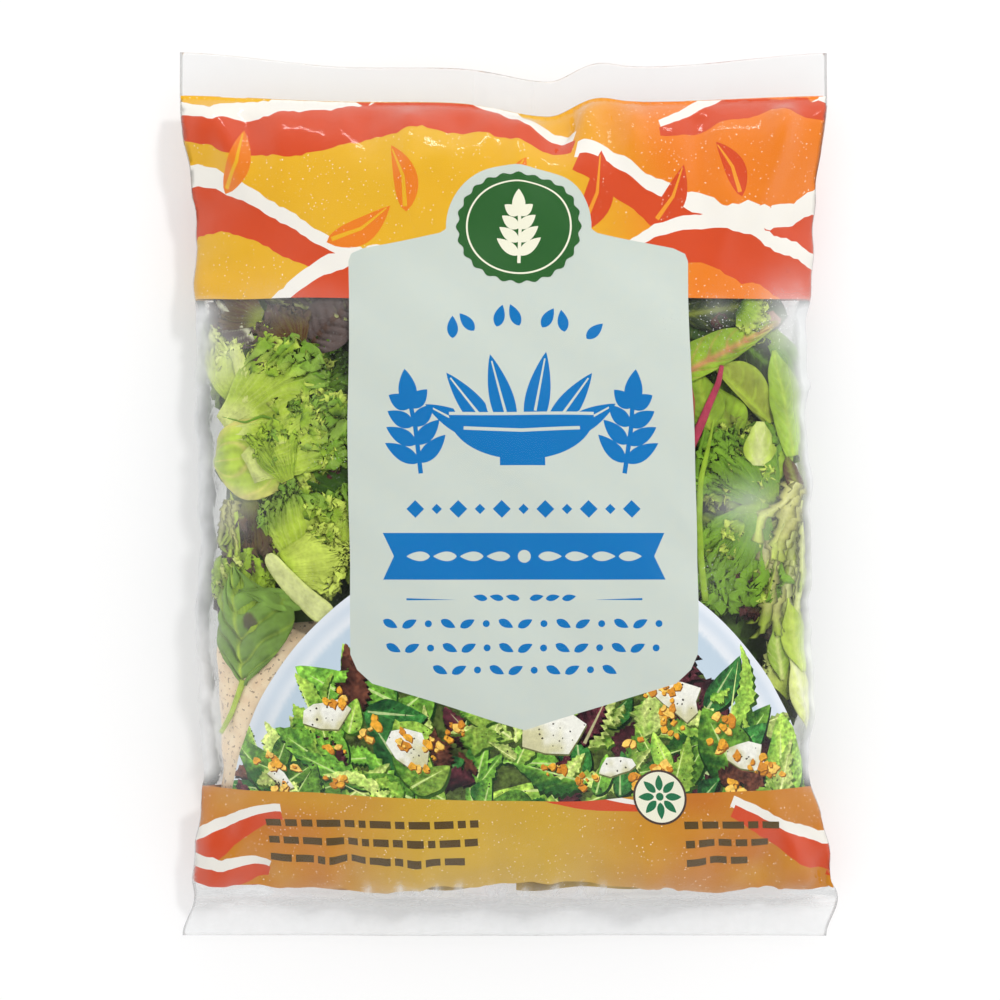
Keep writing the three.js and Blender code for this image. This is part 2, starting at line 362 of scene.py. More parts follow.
class Nodes:  # a material's node tree, with short ways to add and join nodes
    def __init__(self, name):
        self.material = bpy.data.materials.new(name)
        self.material.use_nodes = True
        self.tree = self.material.node_tree
        self.tree.nodes.clear()

    def add(self, kind, **inputs):
        node = self.tree.nodes.new("ShaderNode" + kind)
        for label, value in inputs.items():
            self.put(node, label.replace("_", " "), value)
        return node

    def put(self, node, label, value):
        socket = node.inputs[int(label[3:])] if label.startswith("in ") else node.inputs[label]
        if isinstance(value, bpy.types.NodeSocket):
            self.tree.links.new(value, socket)
        else:
            socket.default_value = value

    def attribute(self, name):
        node = self.add("Attribute")
        node.attribute_name = name
        return node.outputs

    def math(self, operation, first, second=0.0, third=0.0):
        node = self.tree.nodes.new("ShaderNodeMath")
        node.operation = operation
        for place, value in enumerate((first, second, third)):
            self.put(node, f"in {place}", value)
        return node.outputs[0]

    def blend(self, share, first, second, how="MIX"):
        node = self.tree.nodes.new("ShaderNodeMixRGB")
        node.blend_type = how
        self.put(node, "Fac", share)
        self.put(node, "Color1", first)
        self.put(node, "Color2", second)
        return node.outputs[0]

    def shaded(self, base, shade):  # a colour made darker or lighter by a grey share
        grey = self.add("CombineColor", in_0=shade, in_1=shade, in_2=shade).outputs[0]
        return self.blend(1.0, base, grey, "MULTIPLY")

    def grain(self, size, detail=3.0, kind="NoiseTexture"):  # size in millimetres
        place = self.add("TexCoord").outputs["Object"]
        node = self.add("Tex" + kind.replace("Texture", ""), Vector=place, Scale=1 / (size * metres))
        if "Detail" in node.inputs:
            node.inputs["Detail"].default_value = detail
        return node.outputs[0]

    def steps(self, value, low, high):
        node = self.add("MapRange", Value=value)
        node.inputs["From Min"].default_value = low
        node.inputs["From Max"].default_value = high
        return node.outputs[0]

    def bump(self, height, depth, strength=1.0):  # depth in millimetres
        node = self.add("Bump", Height=height, Strength=strength)
        node.inputs["Distance"].default_value = depth * metres
        return node.outputs[0]

    def finish(self, shader):
        self.tree.links.new(shader, self.add("OutputMaterial").inputs["Surface"])
        return self.material


def colour(values):
    return (*[float(value) for value in values], 1.0)


filmLook = {
    "ior": 1.52, "roughness": 0.075, "crinkle": 2.6, "clear": (0.985, 0.987, 0.985),
    "passing": (0.975, 0.975, 0.975), "milk": srgb(246, 247, 248), "milkThrough": 0.2, "mostMilk": 0.92,
    "dropGap": 0.95, "cloud": 7.0,
}


def filmMaterial():
    n = Nodes("clearFilm")
    crinkle = n.bump(n.grain(filmLook["crinkle"], 2.0), 0.22, 0.5)
    shine = n.add("Fresnel", IOR=filmLook["ior"], Normal=crinkle).outputs[0]
    gloss = n.add("BsdfGlossy", Roughness=filmLook["roughness"], Normal=crinkle).outputs[0]
    clear = n.add("BsdfTransparent", Color=colour(filmLook["clear"])).outputs[0]
    film = n.add("MixShader", in_0=shine, in_1=clear, in_2=gloss).outputs[0]
    facing = n.add("BsdfDiffuse", Color=colour(filmLook["milk"])).outputs[0]
    through = n.add("BsdfTranslucent", Color=colour(filmLook["milk"])).outputs[0]
    milk = n.add("MixShader", in_0=filmLook["milkThrough"], in_1=facing, in_2=through).outputs[0]
    # the haze mark holds milky film, painted sheen at the sides and painted glints at the foot
    haze, dew = n.attribute("haze")["Fac"], n.attribute("dew")["Fac"]
    drops = n.steps(n.grain(filmLook["dropGap"], 1.0, "VoronoiTexture"), 0.40, 0.28)
    cloud = n.steps(n.grain(filmLook["cloud"], 1.0), 0.3, 0.7)
    spotted = n.math("MULTIPLY", n.math("MULTIPLY", drops, dew), n.math("MULTIPLY_ADD", cloud, 1.1, 0.3))
    fog = n.math("MULTIPLY", haze, n.math("MULTIPLY_ADD", cloud, 0.3, 0.85))
    amount = n.math("MINIMUM", n.math("ADD", fog, spotted), filmLook["mostMilk"])
    skin = n.add("MixShader", in_0=amount, in_1=film, in_2=milk).outputs[0]
    seen = n.add("LightPath").outputs["Is Camera Ray"]  # light itself goes straight through
    passing = n.add("BsdfTransparent", Color=colour(filmLook["passing"])).outputs[0]
    return n.finish(n.add("MixShader", in_0=seen, in_1=passing, in_2=skin).outputs[0])


inkLook = {
    "ior": 1.45, "roughness": 0.5, "specular": 0.2, "speckGap": 1.3, "speck": (1.0, 0.9, 0.7), "specks": 0.85,
    "worn": (1, 0.8, 0.4), "quilt": 1.7,
}


def inkShader(n, base):
    shader = n.add("BsdfPrincipled", Base_Color=base, Roughness=inkLook["roughness"], IOR=inkLook["ior"])
    shader.inputs["Specular IOR Level"].default_value = inkLook["specular"]
    return n.finish(shader.outputs[0])


def inkMaterial():
    n = Nodes("printInk")
    tint = n.attribute("tint")
    speck = n.steps(n.grain(inkLook["speckGap"], 1.0, "VoronoiTexture"), 0.40, 0.30)  # fine pale dots
    cloud = n.steps(n.grain(6.0, 3.0), 0.42, 0.56)
    specks = n.math("MULTIPLY", n.math("MULTIPLY", speck, cloud), tint["Alpha"])
    mottle = n.steps(n.grain(3.2, 4.0), 0.25, 0.75)
    worn = n.blend(n.math("MULTIPLY", mottle, 0.12), tint["Color"], colour(inkLook["worn"]), "SOFT_LIGHT")
    specks = n.math("MULTIPLY", specks, inkLook["specks"])
    return inkShader(n, n.blend(specks, worn, colour(inkLook["speck"])))


def plateInkMaterial():  # ink with the fine mottle of a printed picture, where the tint's alpha asks for it
    n = Nodes("plateInk")
    tint = n.attribute("tint")
    quilt = n.grain(inkLook["quilt"], 1.0, "VoronoiTexture")
    shade = n.math("MULTIPLY_ADD", n.steps(n.grain(1.2, 4.0), 0.3, 0.7), 0.95, 0.52)
    shade = n.math("MULTIPLY", shade, n.math("MULTIPLY_ADD", quilt, 0.6, 0.76))
    shade = n.math("MULTIPLY_ADD", n.math("SUBTRACT", shade, 1.0), tint["Alpha"], 1.0)
    return inkShader(n, n.shaded(tint["Color"], shade))


leafLook = {"ior": 1.42, "specular": 0.3, "mottle": 4.5, "bump": 0.35, "light": (1.0, 0.95, 0.55)}


def leafMaterial(name, roughness, cell, glow):  # cell in millimetres; glow is the share of light let through
    n = Nodes(name)
    cells = n.grain(cell, 0.0, "VoronoiTexture")
    mottle = n.grain(leafLook["mottle"], 3.0)
    shade = n.math("MULTIPLY_ADD", n.steps(mottle, 0.25, 0.75), 0.42, 0.78)
    shade = n.math("MULTIPLY", shade, n.math("MULTIPLY_ADD", cells, 0.2, 0.91))
    base = n.shaded(n.attribute("tint")["Color"], shade)
    rough = n.bump(n.math("ADD", cells, n.math("MULTIPLY", mottle, 1.4)), leafLook["bump"], 0.7)
    leaf = n.add("BsdfPrincipled", Base_Color=base, Roughness=roughness, IOR=leafLook["ior"], Normal=rough)
    leaf.inputs["Specular IOR Level"].default_value = leafLook["specular"]
    lit = n.blend(1.0, base, colour(leafLook["light"]), "MULTIPLY")
    through = n.add("BsdfTranslucent", Color=lit, Normal=rough).outputs[0]
    return n.finish(n.add("MixShader", in_0=glow, in_1=leaf.outputs[0], in_2=through).outputs[0])


filmSkin = filmMaterial()
ink = inkMaterial()
plateInk = plateInkMaterial()
print("materials ready")


# The film: one closed sheet round the bag, with its two seals

filmLayout = {"columns": 324, "rowGap": 1.6, "sealRows": 11}
hazes = [  # across, along, reach across, reach along, milky film, droplets
    (-74, 64, 24, 6, 0.1, 0.2), (-92, 46, 5, 8, 0.2, 0.0), (-90, -3, 8, 9, 0.2, 0.0),
    (98, 58, 10, 12, 0.5, 0.4), (102, 36, 6, 18, 0.25, 0.1), (72, 62, 5, 4, 0.16, 0.9),
    (66, 54, 14, 10, 0.0, 1.0), (84, 58, 12, 7, 0.0, 0.9), (78, -2, 12, 7, 0.3, 0.2),
    (-90, 62, 9, 7, 0.0, 0.5), (-58, 12, 8, 7, 0.0, 0.8), (-56, 48, 12, 14, 0.0, 0.25),
    (-62, -28, 8, 6, 0.0, 0.5), (66, -26, 12, 9, 0.04, 0.5), (84, -12, 7, 7, 0.14, 0.1),
    (-92, -80, 10, 16, 0.12, 0.0), (-90, -46, 10, 14, 0.08, 0.0),
]
milkAndSheen = {
    "everywhere": 0.006, "sides": 0.88, "glints": 11, "glint": 0.75, "footLine": 0.5, "topSeal": 0.04,
    "bottomSeal": 0.42, "lap": 0.15,
}


def sideHazeAndSheen(across, along):  # both sides are milky between the bands; this milk is partly painted sheen, of film seen edge on
    side = np.abs(across) - foldLine + 1
    reach = np.where(side > 0, 15, np.where(across < 0, 8.5, 5.5))
    uneven = milkAndSheen["sides"] - 0.3 * smooth(0, 12, side) + 0.16 * noise(across / 5, along / 7)
    return uneven * bell(side, reach) * smooth(-98, -88, along) * smooth(68, 60, along)


def hazeAndSheenOf(across, along):
    # milky film and droplets, with painted sheen at the sides and painted glints at the foot
    haze, dew = np.full(len(across), milkAndSheen["everywhere"]), np.zeros(len(across))
    for atAcross, atAlong, reachAcross, reachAlong, milk, drops in hazes:
        near = bell(wrapped(across - atAcross), reachAcross) * bell(along - atAlong, reachAlong)
        haze, dew = haze + milk * near, dew + drops * near
    haze = haze + sideHazeAndSheen(across, along)
    for number in range(milkAndSheen["glints"]):  # painted glints: short bright marks of milk across the foot of the bag
        glint = bell(across - (-50 + 7.4 * number + 5 * draw(number + 7)), 1.3)
        haze = haze + milkAndSheen["glint"] * glint * bell(along - bottomSealLine - 1 - 3 * draw(number + 40), 2.2)
    wave = bottomSealLine - 1.2 + 0.9 * np.sin(across / 7) + 0.6 * np.sin(across / 2.9 + 1)
    haze = haze + milkAndSheen["footLine"] * bell(along - wave, 1.0)
    low = smooth(bottomSealLine + 1, bottomSealLine - 2, along)
    high = smooth(topSealLine - 2, topSealLine + 1, along)
    lap = 1 - smooth(bag["lapWidth"] / 2, bag["lapWidth"] / 2 + 1, halfTube - np.abs(wrapped(across)))
    seals = np.maximum(milkAndSheen["topSeal"] * high, milkAndSheen["bottomSeal"] * low * smooth(-133, -138, along))
    return np.maximum(haze, np.maximum(seals, milkAndSheen["lap"] * lap)), dew * (1 - np.maximum(low, high))


def makeFilm():
    body = np.arange(bottomSealLine, topSealLine + 0.1, filmLayout["rowGap"])
    low = np.linspace(bag["bottomEdge"], bottomSealLine, filmLayout["sealRows"])[:-1]
    high = np.linspace(body[-1], bag["topEdge"], filmLayout["sealRows"])[1:]
    rows = np.concatenate([low, body, high])
    count = filmLayout["columns"]
    columns = np.arange(count) / count * 2 * halfTube
    across = np.tile(columns, len(rows))
    along = np.repeat(rows, count)
    faces = tubeFaces(len(rows), count)
    quarter = count // 4
    for first, top in ((0, False), ((len(rows) - 1) * count, True)):
        for step in range(count // 2):
            front = [first + (quarter - step - k) % count for k in (0, 1)]
            back = [first + (quarter + step + k) % count for k in (0, 1)]
            corners = list(dict.fromkeys([front[0], front[1], back[1], back[0]]))
            if len(corners) > 2:
                faces.append(corners[::-1] if top else corners)
    # haze: milky film with painted sheen and glints
    haze, dew = hazeAndSheenOf(wrapped(across), along)
    marks = {"haze": haze, "dew": dew}
    film = makePiece("bagFilm", filmPoints(across, along), faces, filmSkin, extra=marks)
    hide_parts("salad_bag")
    print("film ready:", len(faces), "faces")


makeFilm()


# Printed shapes. Each sheet of ink is one flat drawing in film places, cut into triangles along
# every outline, so that each triangle takes the colour of the topmost shape over it.

inkColours = {
    "yellow": srgb(229, 172, 34), "gold": srgb(219, 178, 50), "orange": srgb(230, 123, 32),
    "amber": srgb(234, 150, 44), "redOrange": srgb(208, 72, 32), "white": srgb(238, 234, 226),
    "sage": srgb(198, 208, 201), "blue": srgb(0, 112, 184), "green": srgb(42, 96, 44),
    "cream": srgb(238, 236, 214), "small": srgb(84, 64, 22), "goldInShade": srgb(202, 162, 52),
    "orangeInShade": srgb(192, 106, 26),
}


class Drawing:
    def __init__(self):
        self.outlines, self.paints, self.grains = [], [], []

    def add(self, outline, paint, grain=0.0):  # paint is a colour, a function of places, or None for a hole
        outline = np.asarray(outline, float)
        closed = np.vstack([outline, outline[:1]])
        area = np.sum(closed[:-1, 0] * closed[1:, 1] - closed[1:, 0] * closed[:-1, 1])
        self.outlines.append(outline if area > 0 else outline[::-1])
        self.paints.append(paint)
        self.grains.append(grain)


def denser(outline, gap):  # adds points so that no side is longer than the gap
    outline = np.asarray(outline, float)
    points = []
    for start, end in zip(outline, np.roll(outline, -1, axis=0)):
        count = max(1, math.ceil(np.hypot(*(end - start)) / gap))
        points += [start + (end - start) * k / count for k in range(count)]
    return np.array(points)


underFilm, overPrint = 0.22, 0.12  # how deep ink lies under the film; a mark over other ink lies higher


def printSheet(name, drawing, gridGap, edgeGap, depth=underFilm, material=ink):
    outlines = [denser(outline, edgeGap) for outline in drawing.outlines]
    low = np.min([outline.min(0) for outline in outlines], axis=0)
    high = np.max([outline.max(0) for outline in outlines], axis=0)
    rng = np.random.default_rng(7)
    gridX, gridY = np.meshgrid(np.arange(low[0], high[0], gridGap), np.arange(low[1], high[1], gridGap))
    uneven = rng.uniform(-0.12, 0.12, (gridX.size, 2))
    grid = np.column_stack([gridX.ravel(), gridY.ravel()]) + uneven * gridGap
    points = np.vstack([grid, *outlines])
    rings, first = [], len(grid)
    for outline in outlines:
        rings.append(list(range(first, first + len(outline))))
        first += len(outline)
    cut = delaunay_2d_cdt([Vector(point) for point in points], [], rings, 0, 1e-4, True)
    places, triangles, over = np.array([tuple(v) for v in cut[0]]), cut[2], cut[5]
    faces, shapes = [], []
    for triangle, rings in zip(triangles, over):
        if 0 in rings and drawing.paints[max(rings)] is not None:  # on the sheet, and in no hole
            faces.append(triangle)
            shapes.append(max(rings))
    tint = np.zeros((len(faces) * 3, 4))
    shapes, index = np.array(shapes), np.array(faces).ravel()
    for shape in np.unique(shapes):
        rows = np.repeat(shapes == shape, 3)
        paint = drawing.paints[shape]
        tint[rows, :3] = paint(places[index[rows]]) if callable(paint) else paint
        tint[rows, 3] = drawing.grains[shape]
    used = np.unique(index)
    renumber = np.zeros(len(places), int)
    renumber[used] = np.arange(len(used))
    points = filmPoints(places[used, 0], places[used, 1], depth)
    makePiece(name, points, renumber[np.array(faces)].tolist(), material, corners=tint)
    print(name, "ready:", len(faces), "triangles")


# Outlines

def ring(x, y, radiusX, radiusY, count=48, bumps=0, bumpHeight=0.0):
    turn = np.linspace(0, 2 * math.pi, count, endpoint=False)
    grow = 1 + bumpHeight * np.cos(bumps * turn)
    return np.column_stack([x + radiusX * grow * np.cos(turn), y + radiusY * grow * np.sin(turn)])


def turned(outline, x, y, degrees):
    turn = math.radians(degrees)
    rows = np.asarray(outline, float)
    return np.column_stack([
        x + rows[:, 0] * math.cos(turn) - rows[:, 1] * math.sin(turn),
        y + rows[:, 0] * math.sin(turn) + rows[:, 1] * math.cos(turn),
    ])


def leafOutline(length, width, bend=0.0, steps=14):
    share = np.linspace(0, 1, steps)
    half = width / 2 * np.sin(math.pi * share**0.8) ** 0.85
    middle = bend * np.sin(math.pi * share)
    right = np.column_stack([middle + half, share * length])
    left = np.column_stack([middle - half, share * length])[-2:0:-1]
    return np.vstack([right, left])


def ribbonOutline(path, widths):  # a band of changing width along a path
    path = np.asarray(path, float)
    run = np.gradient(path, axis=0)
    side = np.column_stack([-run[:, 1], run[:, 0]]) / np.linalg.norm(run, axis=1)[:, None]
    half = np.asarray(widths)[:, None] / 2
    return np.vstack([path + side * half, (path - side * half)[::-1]])


def barOutline(x, y, width, height):
    return [(x - width / 2, y - height / 2), (x + width / 2, y - height / 2),
            (x + width / 2, y + height / 2), (x - width / 2, y + height / 2)]


# The label: a pale panel with a domed top and a pointed foot, with plain blue ornaments

label = {
    "middle": 5.0, "left": -51.6, "right": 61.4, "shoulder": 80.0, "neck": 89.5, "foot": -53.0,
    "corner": -60.5, "point": -75.5, "badgeAlong": 89.0, "dome": (24.2, 21.8), "badge": (20.4, 18.6),
}


def labelOutline():
    middle, (domeX, domeY) = label["middle"], label["dome"]
    turn = np.radians(np.linspace(-2, 182, 34))
    dome = np.column_stack([middle + domeX * np.cos(turn), label["badgeAlong"] + domeY * np.sin(turn)])
    right = [(middle + domeX + 2, label["neck"] - 2.5), (label["right"] - 5, label["shoulder"] + 1.8),
             (label["right"] - 1, label["shoulder"]), (label["right"], label["shoulder"] - 2.5)]
    left = [(2 * middle - x - 0.1, y) for x, y in right]
    foot = [(label["left"], label["foot"] + 2), (label["left"] + 2.2, label["foot"] - 3),
            (label["left"] + 7, label["corner"]), (middle - 1.8, label["point"] + 0.5),
            (middle, label["point"]), (middle + 1.8, label["point"] + 0.5),
            (label["right"] - 7, label["corner"]), (label["right"] - 2.2, label["foot"] - 3),
            (label["right"], label["foot"] + 2)]
    return denser(np.vstack([dome, left, foot, right[::-1]]), 1.5)


labelEdge = labelOutline()


def addLeafSprig(drawing, x, y, size, paint, turn=0.0, pairs=4):
    stem = ribbonOutline([(0, 0), (0.02 * size, 0.5 * size), (0, 0.9 * size)], [0.05 * size] * 3)
    drawing.add(turned(stem, x, y, turn), paint)
    top = turned([(0, 0.72 * size)], x, y, turn)[0]
    drawing.add(turned(leafOutline(0.42 * size, 0.2 * size), *top, turn), paint)
    for pair in range(pairs):
        for side in (-1, 1):
            foot = turned([(0, (0.12 + 0.2 * pair) * size)], x, y, turn)[0]
            leaf = leafOutline((0.42 - 0.05 * pair) * size, 0.17 * size)
            drawing.add(turned(leaf, *foot, turn - side * 52), paint)


bowlLeaves = [  # degrees from upright, length and width in half bowls
    (62, 0.95, 0.3), (38, 1.12, 0.33), (14, 1.18, 0.34), (-12, 1.22, 0.34), (-37, 1.1, 0.33), (-61, 0.95, 0.3),
]


def addBowl(drawing, x, y, width, paint, gap):
    half = width / 2
    turn = np.radians(np.linspace(180, 360, 40))
    bowl = np.column_stack([x + half * np.cos(turn), y + 0.62 * half * np.sin(turn)])
    for degrees, length, wide in bowlLeaves:
        foot = (x - 0.55 * half * math.sin(math.radians(degrees)), y - 0.3 * half)
        rim = leafOutline(length * half + 2.4, wide * half + 2.6)
        drawing.add(turned(rim, foot[0], foot[1] - 1.2, degrees), gap)
        drawing.add(turned(leafOutline(length * half, wide * half, steps=18), *foot, degrees), paint)
        vein = ribbonOutline([(0, 0.3 * length * half), (0, 0.92 * length * half)], [0.9, 0.5])
        drawing.add(turned(vein, *foot, degrees), gap)
    drawing.add(bowl + [0, 1.0], gap)
    drawing.add(bowl, paint)
    line = [(x - 0.8 * half, y - 4.2), (x, y - 5.0), (x + 0.8 * half, y - 4.2)]
    drawing.add(ribbonOutline(line, [1.1] * 3), gap)
    drawing.add(barOutline(x, y - 0.62 * half - 0.6, 0.62 * half, 2.6), paint)


ornaments = {
    "arcRadius": 54, "arcCentre": 2.5, "arcLeaves": 7, "arcStep": 8, "arcLean": 24, "arcLeaf": (7.4, 3.6),
    "bowlAlong": 27, "bowlWidth": 47, "sprigOff": 33, "sprigAlong": 8, "sprigSize": 30,
    "lozenges": 11, "lozengeGap": 7.0, "lozengeAlong": -3.6, "lozengeSizes": (2.9, 1.7),
    "ribbonLow": -26.6, "ribbonHigh": -11.4, "ribbonReach": 45.6, "notch": 3.6, "ribbonLeaf": (7.6, 3.1),
    "rule": (22, 38), "ruleAlong": -33.1, "ruleLeaf": (4.6, 2.1), "borderLeaf": (5.3, 2.6),
    "rows": ((-40.9, 46.5, 15), (-48.8, 45.5, 15), (-56.0, 30.5, 10)),  # along, half length, signs
}


def addLeafArc(drawing, middle, paint):  # small leaves in an arc under the badge
    for step in range(ornaments["arcLeaves"]):
        turn = math.radians(ornaments["arcStep"] * (step - (ornaments["arcLeaves"] - 1) / 2))
        x = middle + ornaments["arcRadius"] * math.sin(turn)
        y = ornaments["arcCentre"] + ornaments["arcRadius"] * math.cos(turn)
        lean = ornaments["arcLean"] if step % 2 else -ornaments["arcLean"]
        drawing.add(turned(leafOutline(*ornaments["arcLeaf"]), x, y, -math.degrees(turn) + lean), paint)


def addLozenges(drawing, middle, paint):
    along = ornaments["lozengeAlong"]
    for step in range(ornaments["lozenges"]):
        x = middle + (step - ornaments["lozenges"] // 2) * ornaments["lozengeGap"]
        size = ornaments["lozengeSizes"][step % 2]
        drawing.add([(x - size, along), (x, along - size), (x + size, along), (x, along + size)], paint)


def addRibbon(drawing, middle, paint, pale):  # a notched ribbon with pale leaves along it
    low, high, notch = ornaments["ribbonLow"], ornaments["ribbonHigh"], ornaments["notch"]
    left, right = middle - ornaments["ribbonReach"], middle + ornaments["ribbonReach"]
    centre = (low + high) / 2
    drawing.add([(left, low), (right, low), (right - notch, centre), (right, high), (left, high),
                 (left + notch, centre)], paint)
    for side in (-1, 1):
        for step in range(4):
            x = middle + side * (4.5 + 8.6 * step)
            drawing.add(turned(leafOutline(*ornaments["ribbonLeaf"]), x, centre, -side * 90), pale)
    drawing.add(ring(middle, centre, 2.1, 2.1, 20), pale)


def addRules(drawing, middle, paint):  # two tapering rules with a sprig between them
    along, (near, far) = ornaments["ruleAlong"], ornaments["rule"]
    for side in (-1, 1):
        end = middle + side * far
        drawing.add([(middle + side * near, along), (end, along + 0.5), (end, along - 0.2)][::side], paint)
    for side in (-1, 1):
        for step in range(3):
            x = middle + side * (1.6 + 5.2 * step)
            drawing.add(turned(leafOutline(*ornaments["ruleLeaf"]), x, along + 0.2, -side * 78), paint)


def addBorderRows(drawing, middle, paint):  # rows of leaves and dots, as a quiet border pattern
    for along, reach, count in ornaments["rows"]:
        for step in range(count):
            x = middle - reach + (step + 0.5) * 2 * reach / count
            side = 1 if step % 3 else -1
            if step % 3 == 2:
                drawing.add(ring(x, along, 1.15, 1.15, 14), paint)
            else:
                leaf = leafOutline(*ornaments["borderLeaf"])
                drawing.add(turned(leaf, x - 2.2, along - 1.2 * side, -90 + 28 * side), paint)


def makeLabel():
    drawing = Drawing()
    middle, sage, blue = label["middle"], inkColours["sage"], inkColours["blue"]
    drawing.add(labelEdge, sage)
    addLeafArc(drawing, middle, blue)
    addBowl(drawing, middle, ornaments["bowlAlong"], ornaments["bowlWidth"], blue, sage)
    for side in (-1, 1):
        x = middle + side * ornaments["sprigOff"]
        addLeafSprig(drawing, x, ornaments["sprigAlong"], ornaments["sprigSize"], blue, -side * 8)
    addLozenges(drawing, middle, blue)
    addRibbon(drawing, middle, blue, sage)
    addRules(drawing, middle, blue)
    addBorderRows(drawing, middle, blue)
    printSheet("labelPanel", drawing, 1.7, 1.4)


badge = {"scallops": 24, "scallopShare": 0.025, "outer": 0.86, "inner": 0.83, "sprigFoot": 12.4, "sprig": 22}


def makeBadge():
    drawing = Drawing()
    middle, along, (radiusX, radiusY) = label["middle"], label["badgeAlong"], label["badge"]
    scallops, height = badge["scallops"], badge["scallopShare"]
    drawing.add(ring(middle, along, radiusX, radiusY, 6 * scallops, scallops, height), inkColours["green"])
    for share, paint in ((badge["outer"], "cream"), (badge["inner"], "green")):
        drawing.add(ring(middle, along, radiusX * share, radiusY * share, 72), inkColours[paint])
    addLeafSprig(drawing, middle, along - badge["sprigFoot"], badge["sprig"], inkColours["cream"])
    printSheet("badge", drawing, 1.6, 0.9, overPrint)


# The two printed bands run right round the bag: yellow on the left and orange on the right, with
# flowing stripes and leaf blades

bands = {
    "topHigh": 131.5, "topLow": 65.6, "bottomHigh": -95.0, "bottomLow": -129.0, "stripeStep": 1.8,
    "bladeGap": 29.0, "dashHeight": 2.5, "dashGap": 1.4,
}
topStripes = [  # first and last place across, start along, slope, swing, waves, phase, width, white edge
    (-214, -44, 92, 0.10, 13, 1.7, 0.5, 16, 4.6), (-130, 24, 119, -0.07, 7, 1.4, 2.2, 13, 4.0),
    (-112, -22, 82, 0.34, 6, 2.1, 4.2, 13, 4.2), (-92, -44, 108, -0.5, 4, 3.1, 1.0, 8, 3.0),
    (24, 214, 103, -0.12, 13, 1.5, 1.1, 18, 5.0), (30, 150, 80, -0.05, 6, 2.3, 3.4, 13, 3.4),
    (52, 118, 122, 0.05, 4, 3.0, 0.4, 9, 3.0), (120, 214, 112, 0.02, 7, 1.8, 5.2, 12, 3.6),
]
bottomStripes = [
    (-214, -76, -108, 0.06, 8, 2.3, 0.4, 12, 3.2), (-150, -82, -124, 0.05, 4, 2.4, 2.0, 10, 3.0),
    (74, 214, -104, -0.06, 9, 2.2, 4.0, 13, 3.4), (-40, 46, -97, -0.03, 4, 1.6, 2.4, 6, 1.6),
]
dashRows = [  # left end, length and along, in place of the small print
    (-83, 73, -107.2), (-83, 71, -113.4), (-83, 66, -119.6),
    (57, 33, -107.6), (57, 32, -113.8), (57, 21, -120.0),
]


def bandColour(places):
    across = places[:, 0]
    warm = smooth(10, 62, across + 6 * np.sin(0.06 * places[:, 1]))
    base = tinted(inkColours["yellow"], inkColours["orange"], warm * (np.abs(across) < 150))
    patches = 0.5 + 0.5 * noise(across / 21, places[:, 1] / 17)
    return tinted(base, inkColours["gold"], 0.35 * patches * (1 - warm))


def addStripe(drawing, first, last, start, slope, swing, waves, phase, width, edge):  # red, with a white edge
    across = np.arange(first, last + 0.1, bands["stripeStep"])
    along = start + slope * across + swing * np.sin(across * 2 * math.pi * waves / bag["flatWidth"] + phase)
    path = np.column_stack([across, along])
    share = np.linspace(0, 1, len(across))
    ragged = 1 + 0.22 * noise(across / 9, phase) + 0.1 * noise(across / 1.3, phase)
    widths = width * (0.3 + 0.7 * np.sin(math.pi * share)) * ragged
    off = np.column_stack([np.zeros(len(across)), (widths + edge) * 0.42])
    whiteWidths = widths * 0.5 + edge * (0.5 + 0.5 * np.sin(math.pi * share))
    drawing.add(ribbonOutline(path + off, whiteWidths), inkColours["white"])
    drawing.add(ribbonOutline(path, widths), inkColours["redOrange"])


def makeTopBand():
    drawing = Drawing()
    low, high = bands["topLow"], bands["topHigh"]
    edge = [(-halfTube, low), (halfTube, low), (halfTube, high), (-halfTube, high)]
    drawing.add(denser(edge, 1.5), bandColour, 1.0)
    for stripe in topStripes:
        addStripe(drawing, *stripe)
    rng = np.random.default_rng(21)
    for across in np.arange(-206, 214, bands["bladeGap"]):  # broad leaf blades between the stripes
        size = rng.uniform(20, 30)
        x, y = across + rng.uniform(-7, 7), rng.uniform(low + 4, high - 30)
        turn = rng.uniform(-60, 60)
        warm = across > 20
        blade = turned(leafOutline(size, size * 0.36, size * 0.1), x, y, turn)
        drawing.add(blade, inkColours["redOrange"] if warm else inkColours["orange"], 0.8)
        vein = ribbonOutline([(0, size * 0.08), (size * 0.07, size * 0.5), (0, size * 0.94)], [1.5, 1.1, 0.4])
        drawing.add(turned(vein, x, y, turn), inkColours["amber"] if warm else inkColours["yellow"])
    drawing.add(labelEdge, None)
    printSheet("topBand", drawing, 2.3, 1.6)


def bottomEdgeOf(across):
    return bands["bottomLow"] + 1.6 * np.sin(0.05 * across + 1) + 0.9 * np.sin(0.17 * across)


def bottomBandTop(across):
    return bands["bottomHigh"] - 4.3 * bell(across, 70)


def bottomBandColour(places):
    # print colours of the lower band, made darker with painted shade
    warm = smooth(15, 75, np.abs(places[:, 0] + 8)) * (np.abs(places[:, 0]) < 160)
    base = tinted(inkColours["goldInShade"], inkColours["orangeInShade"], warm)
    return tinted(base, inkColours["gold"], 0.2 + 0.2 * noise(places[:, 0] / 16, places[:, 1] / 9))


def makeBottomBand():
    drawing = Drawing()
    across = np.arange(-halfTube, halfTube + 0.1, 2.0)
    low = np.column_stack([across, bottomEdgeOf(across)])
    high = np.column_stack([across, bottomBandTop(across)])
    drawing.add(np.vstack([low, high[::-1]]), bottomBandColour, 1.0)
    for stripe in bottomStripes:
        addStripe(drawing, *stripe)
    for left, length, along in dashRows:
        rng = np.random.default_rng(length)
        x = left
        while x < left + length - 3:
            dash = min(rng.uniform(2.2, 8), left + length - x)
            drawing.add(barOutline(x + dash / 2, along, dash, bands["dashHeight"]), inkColours["small"])
            x += dash + bands["dashGap"]
    drawing.add(labelEdge, None)
    printSheet("bottomBand", drawing, 2.3, 1.6)


# The printed plate under the label: a pale dish with a plain painted salad on it

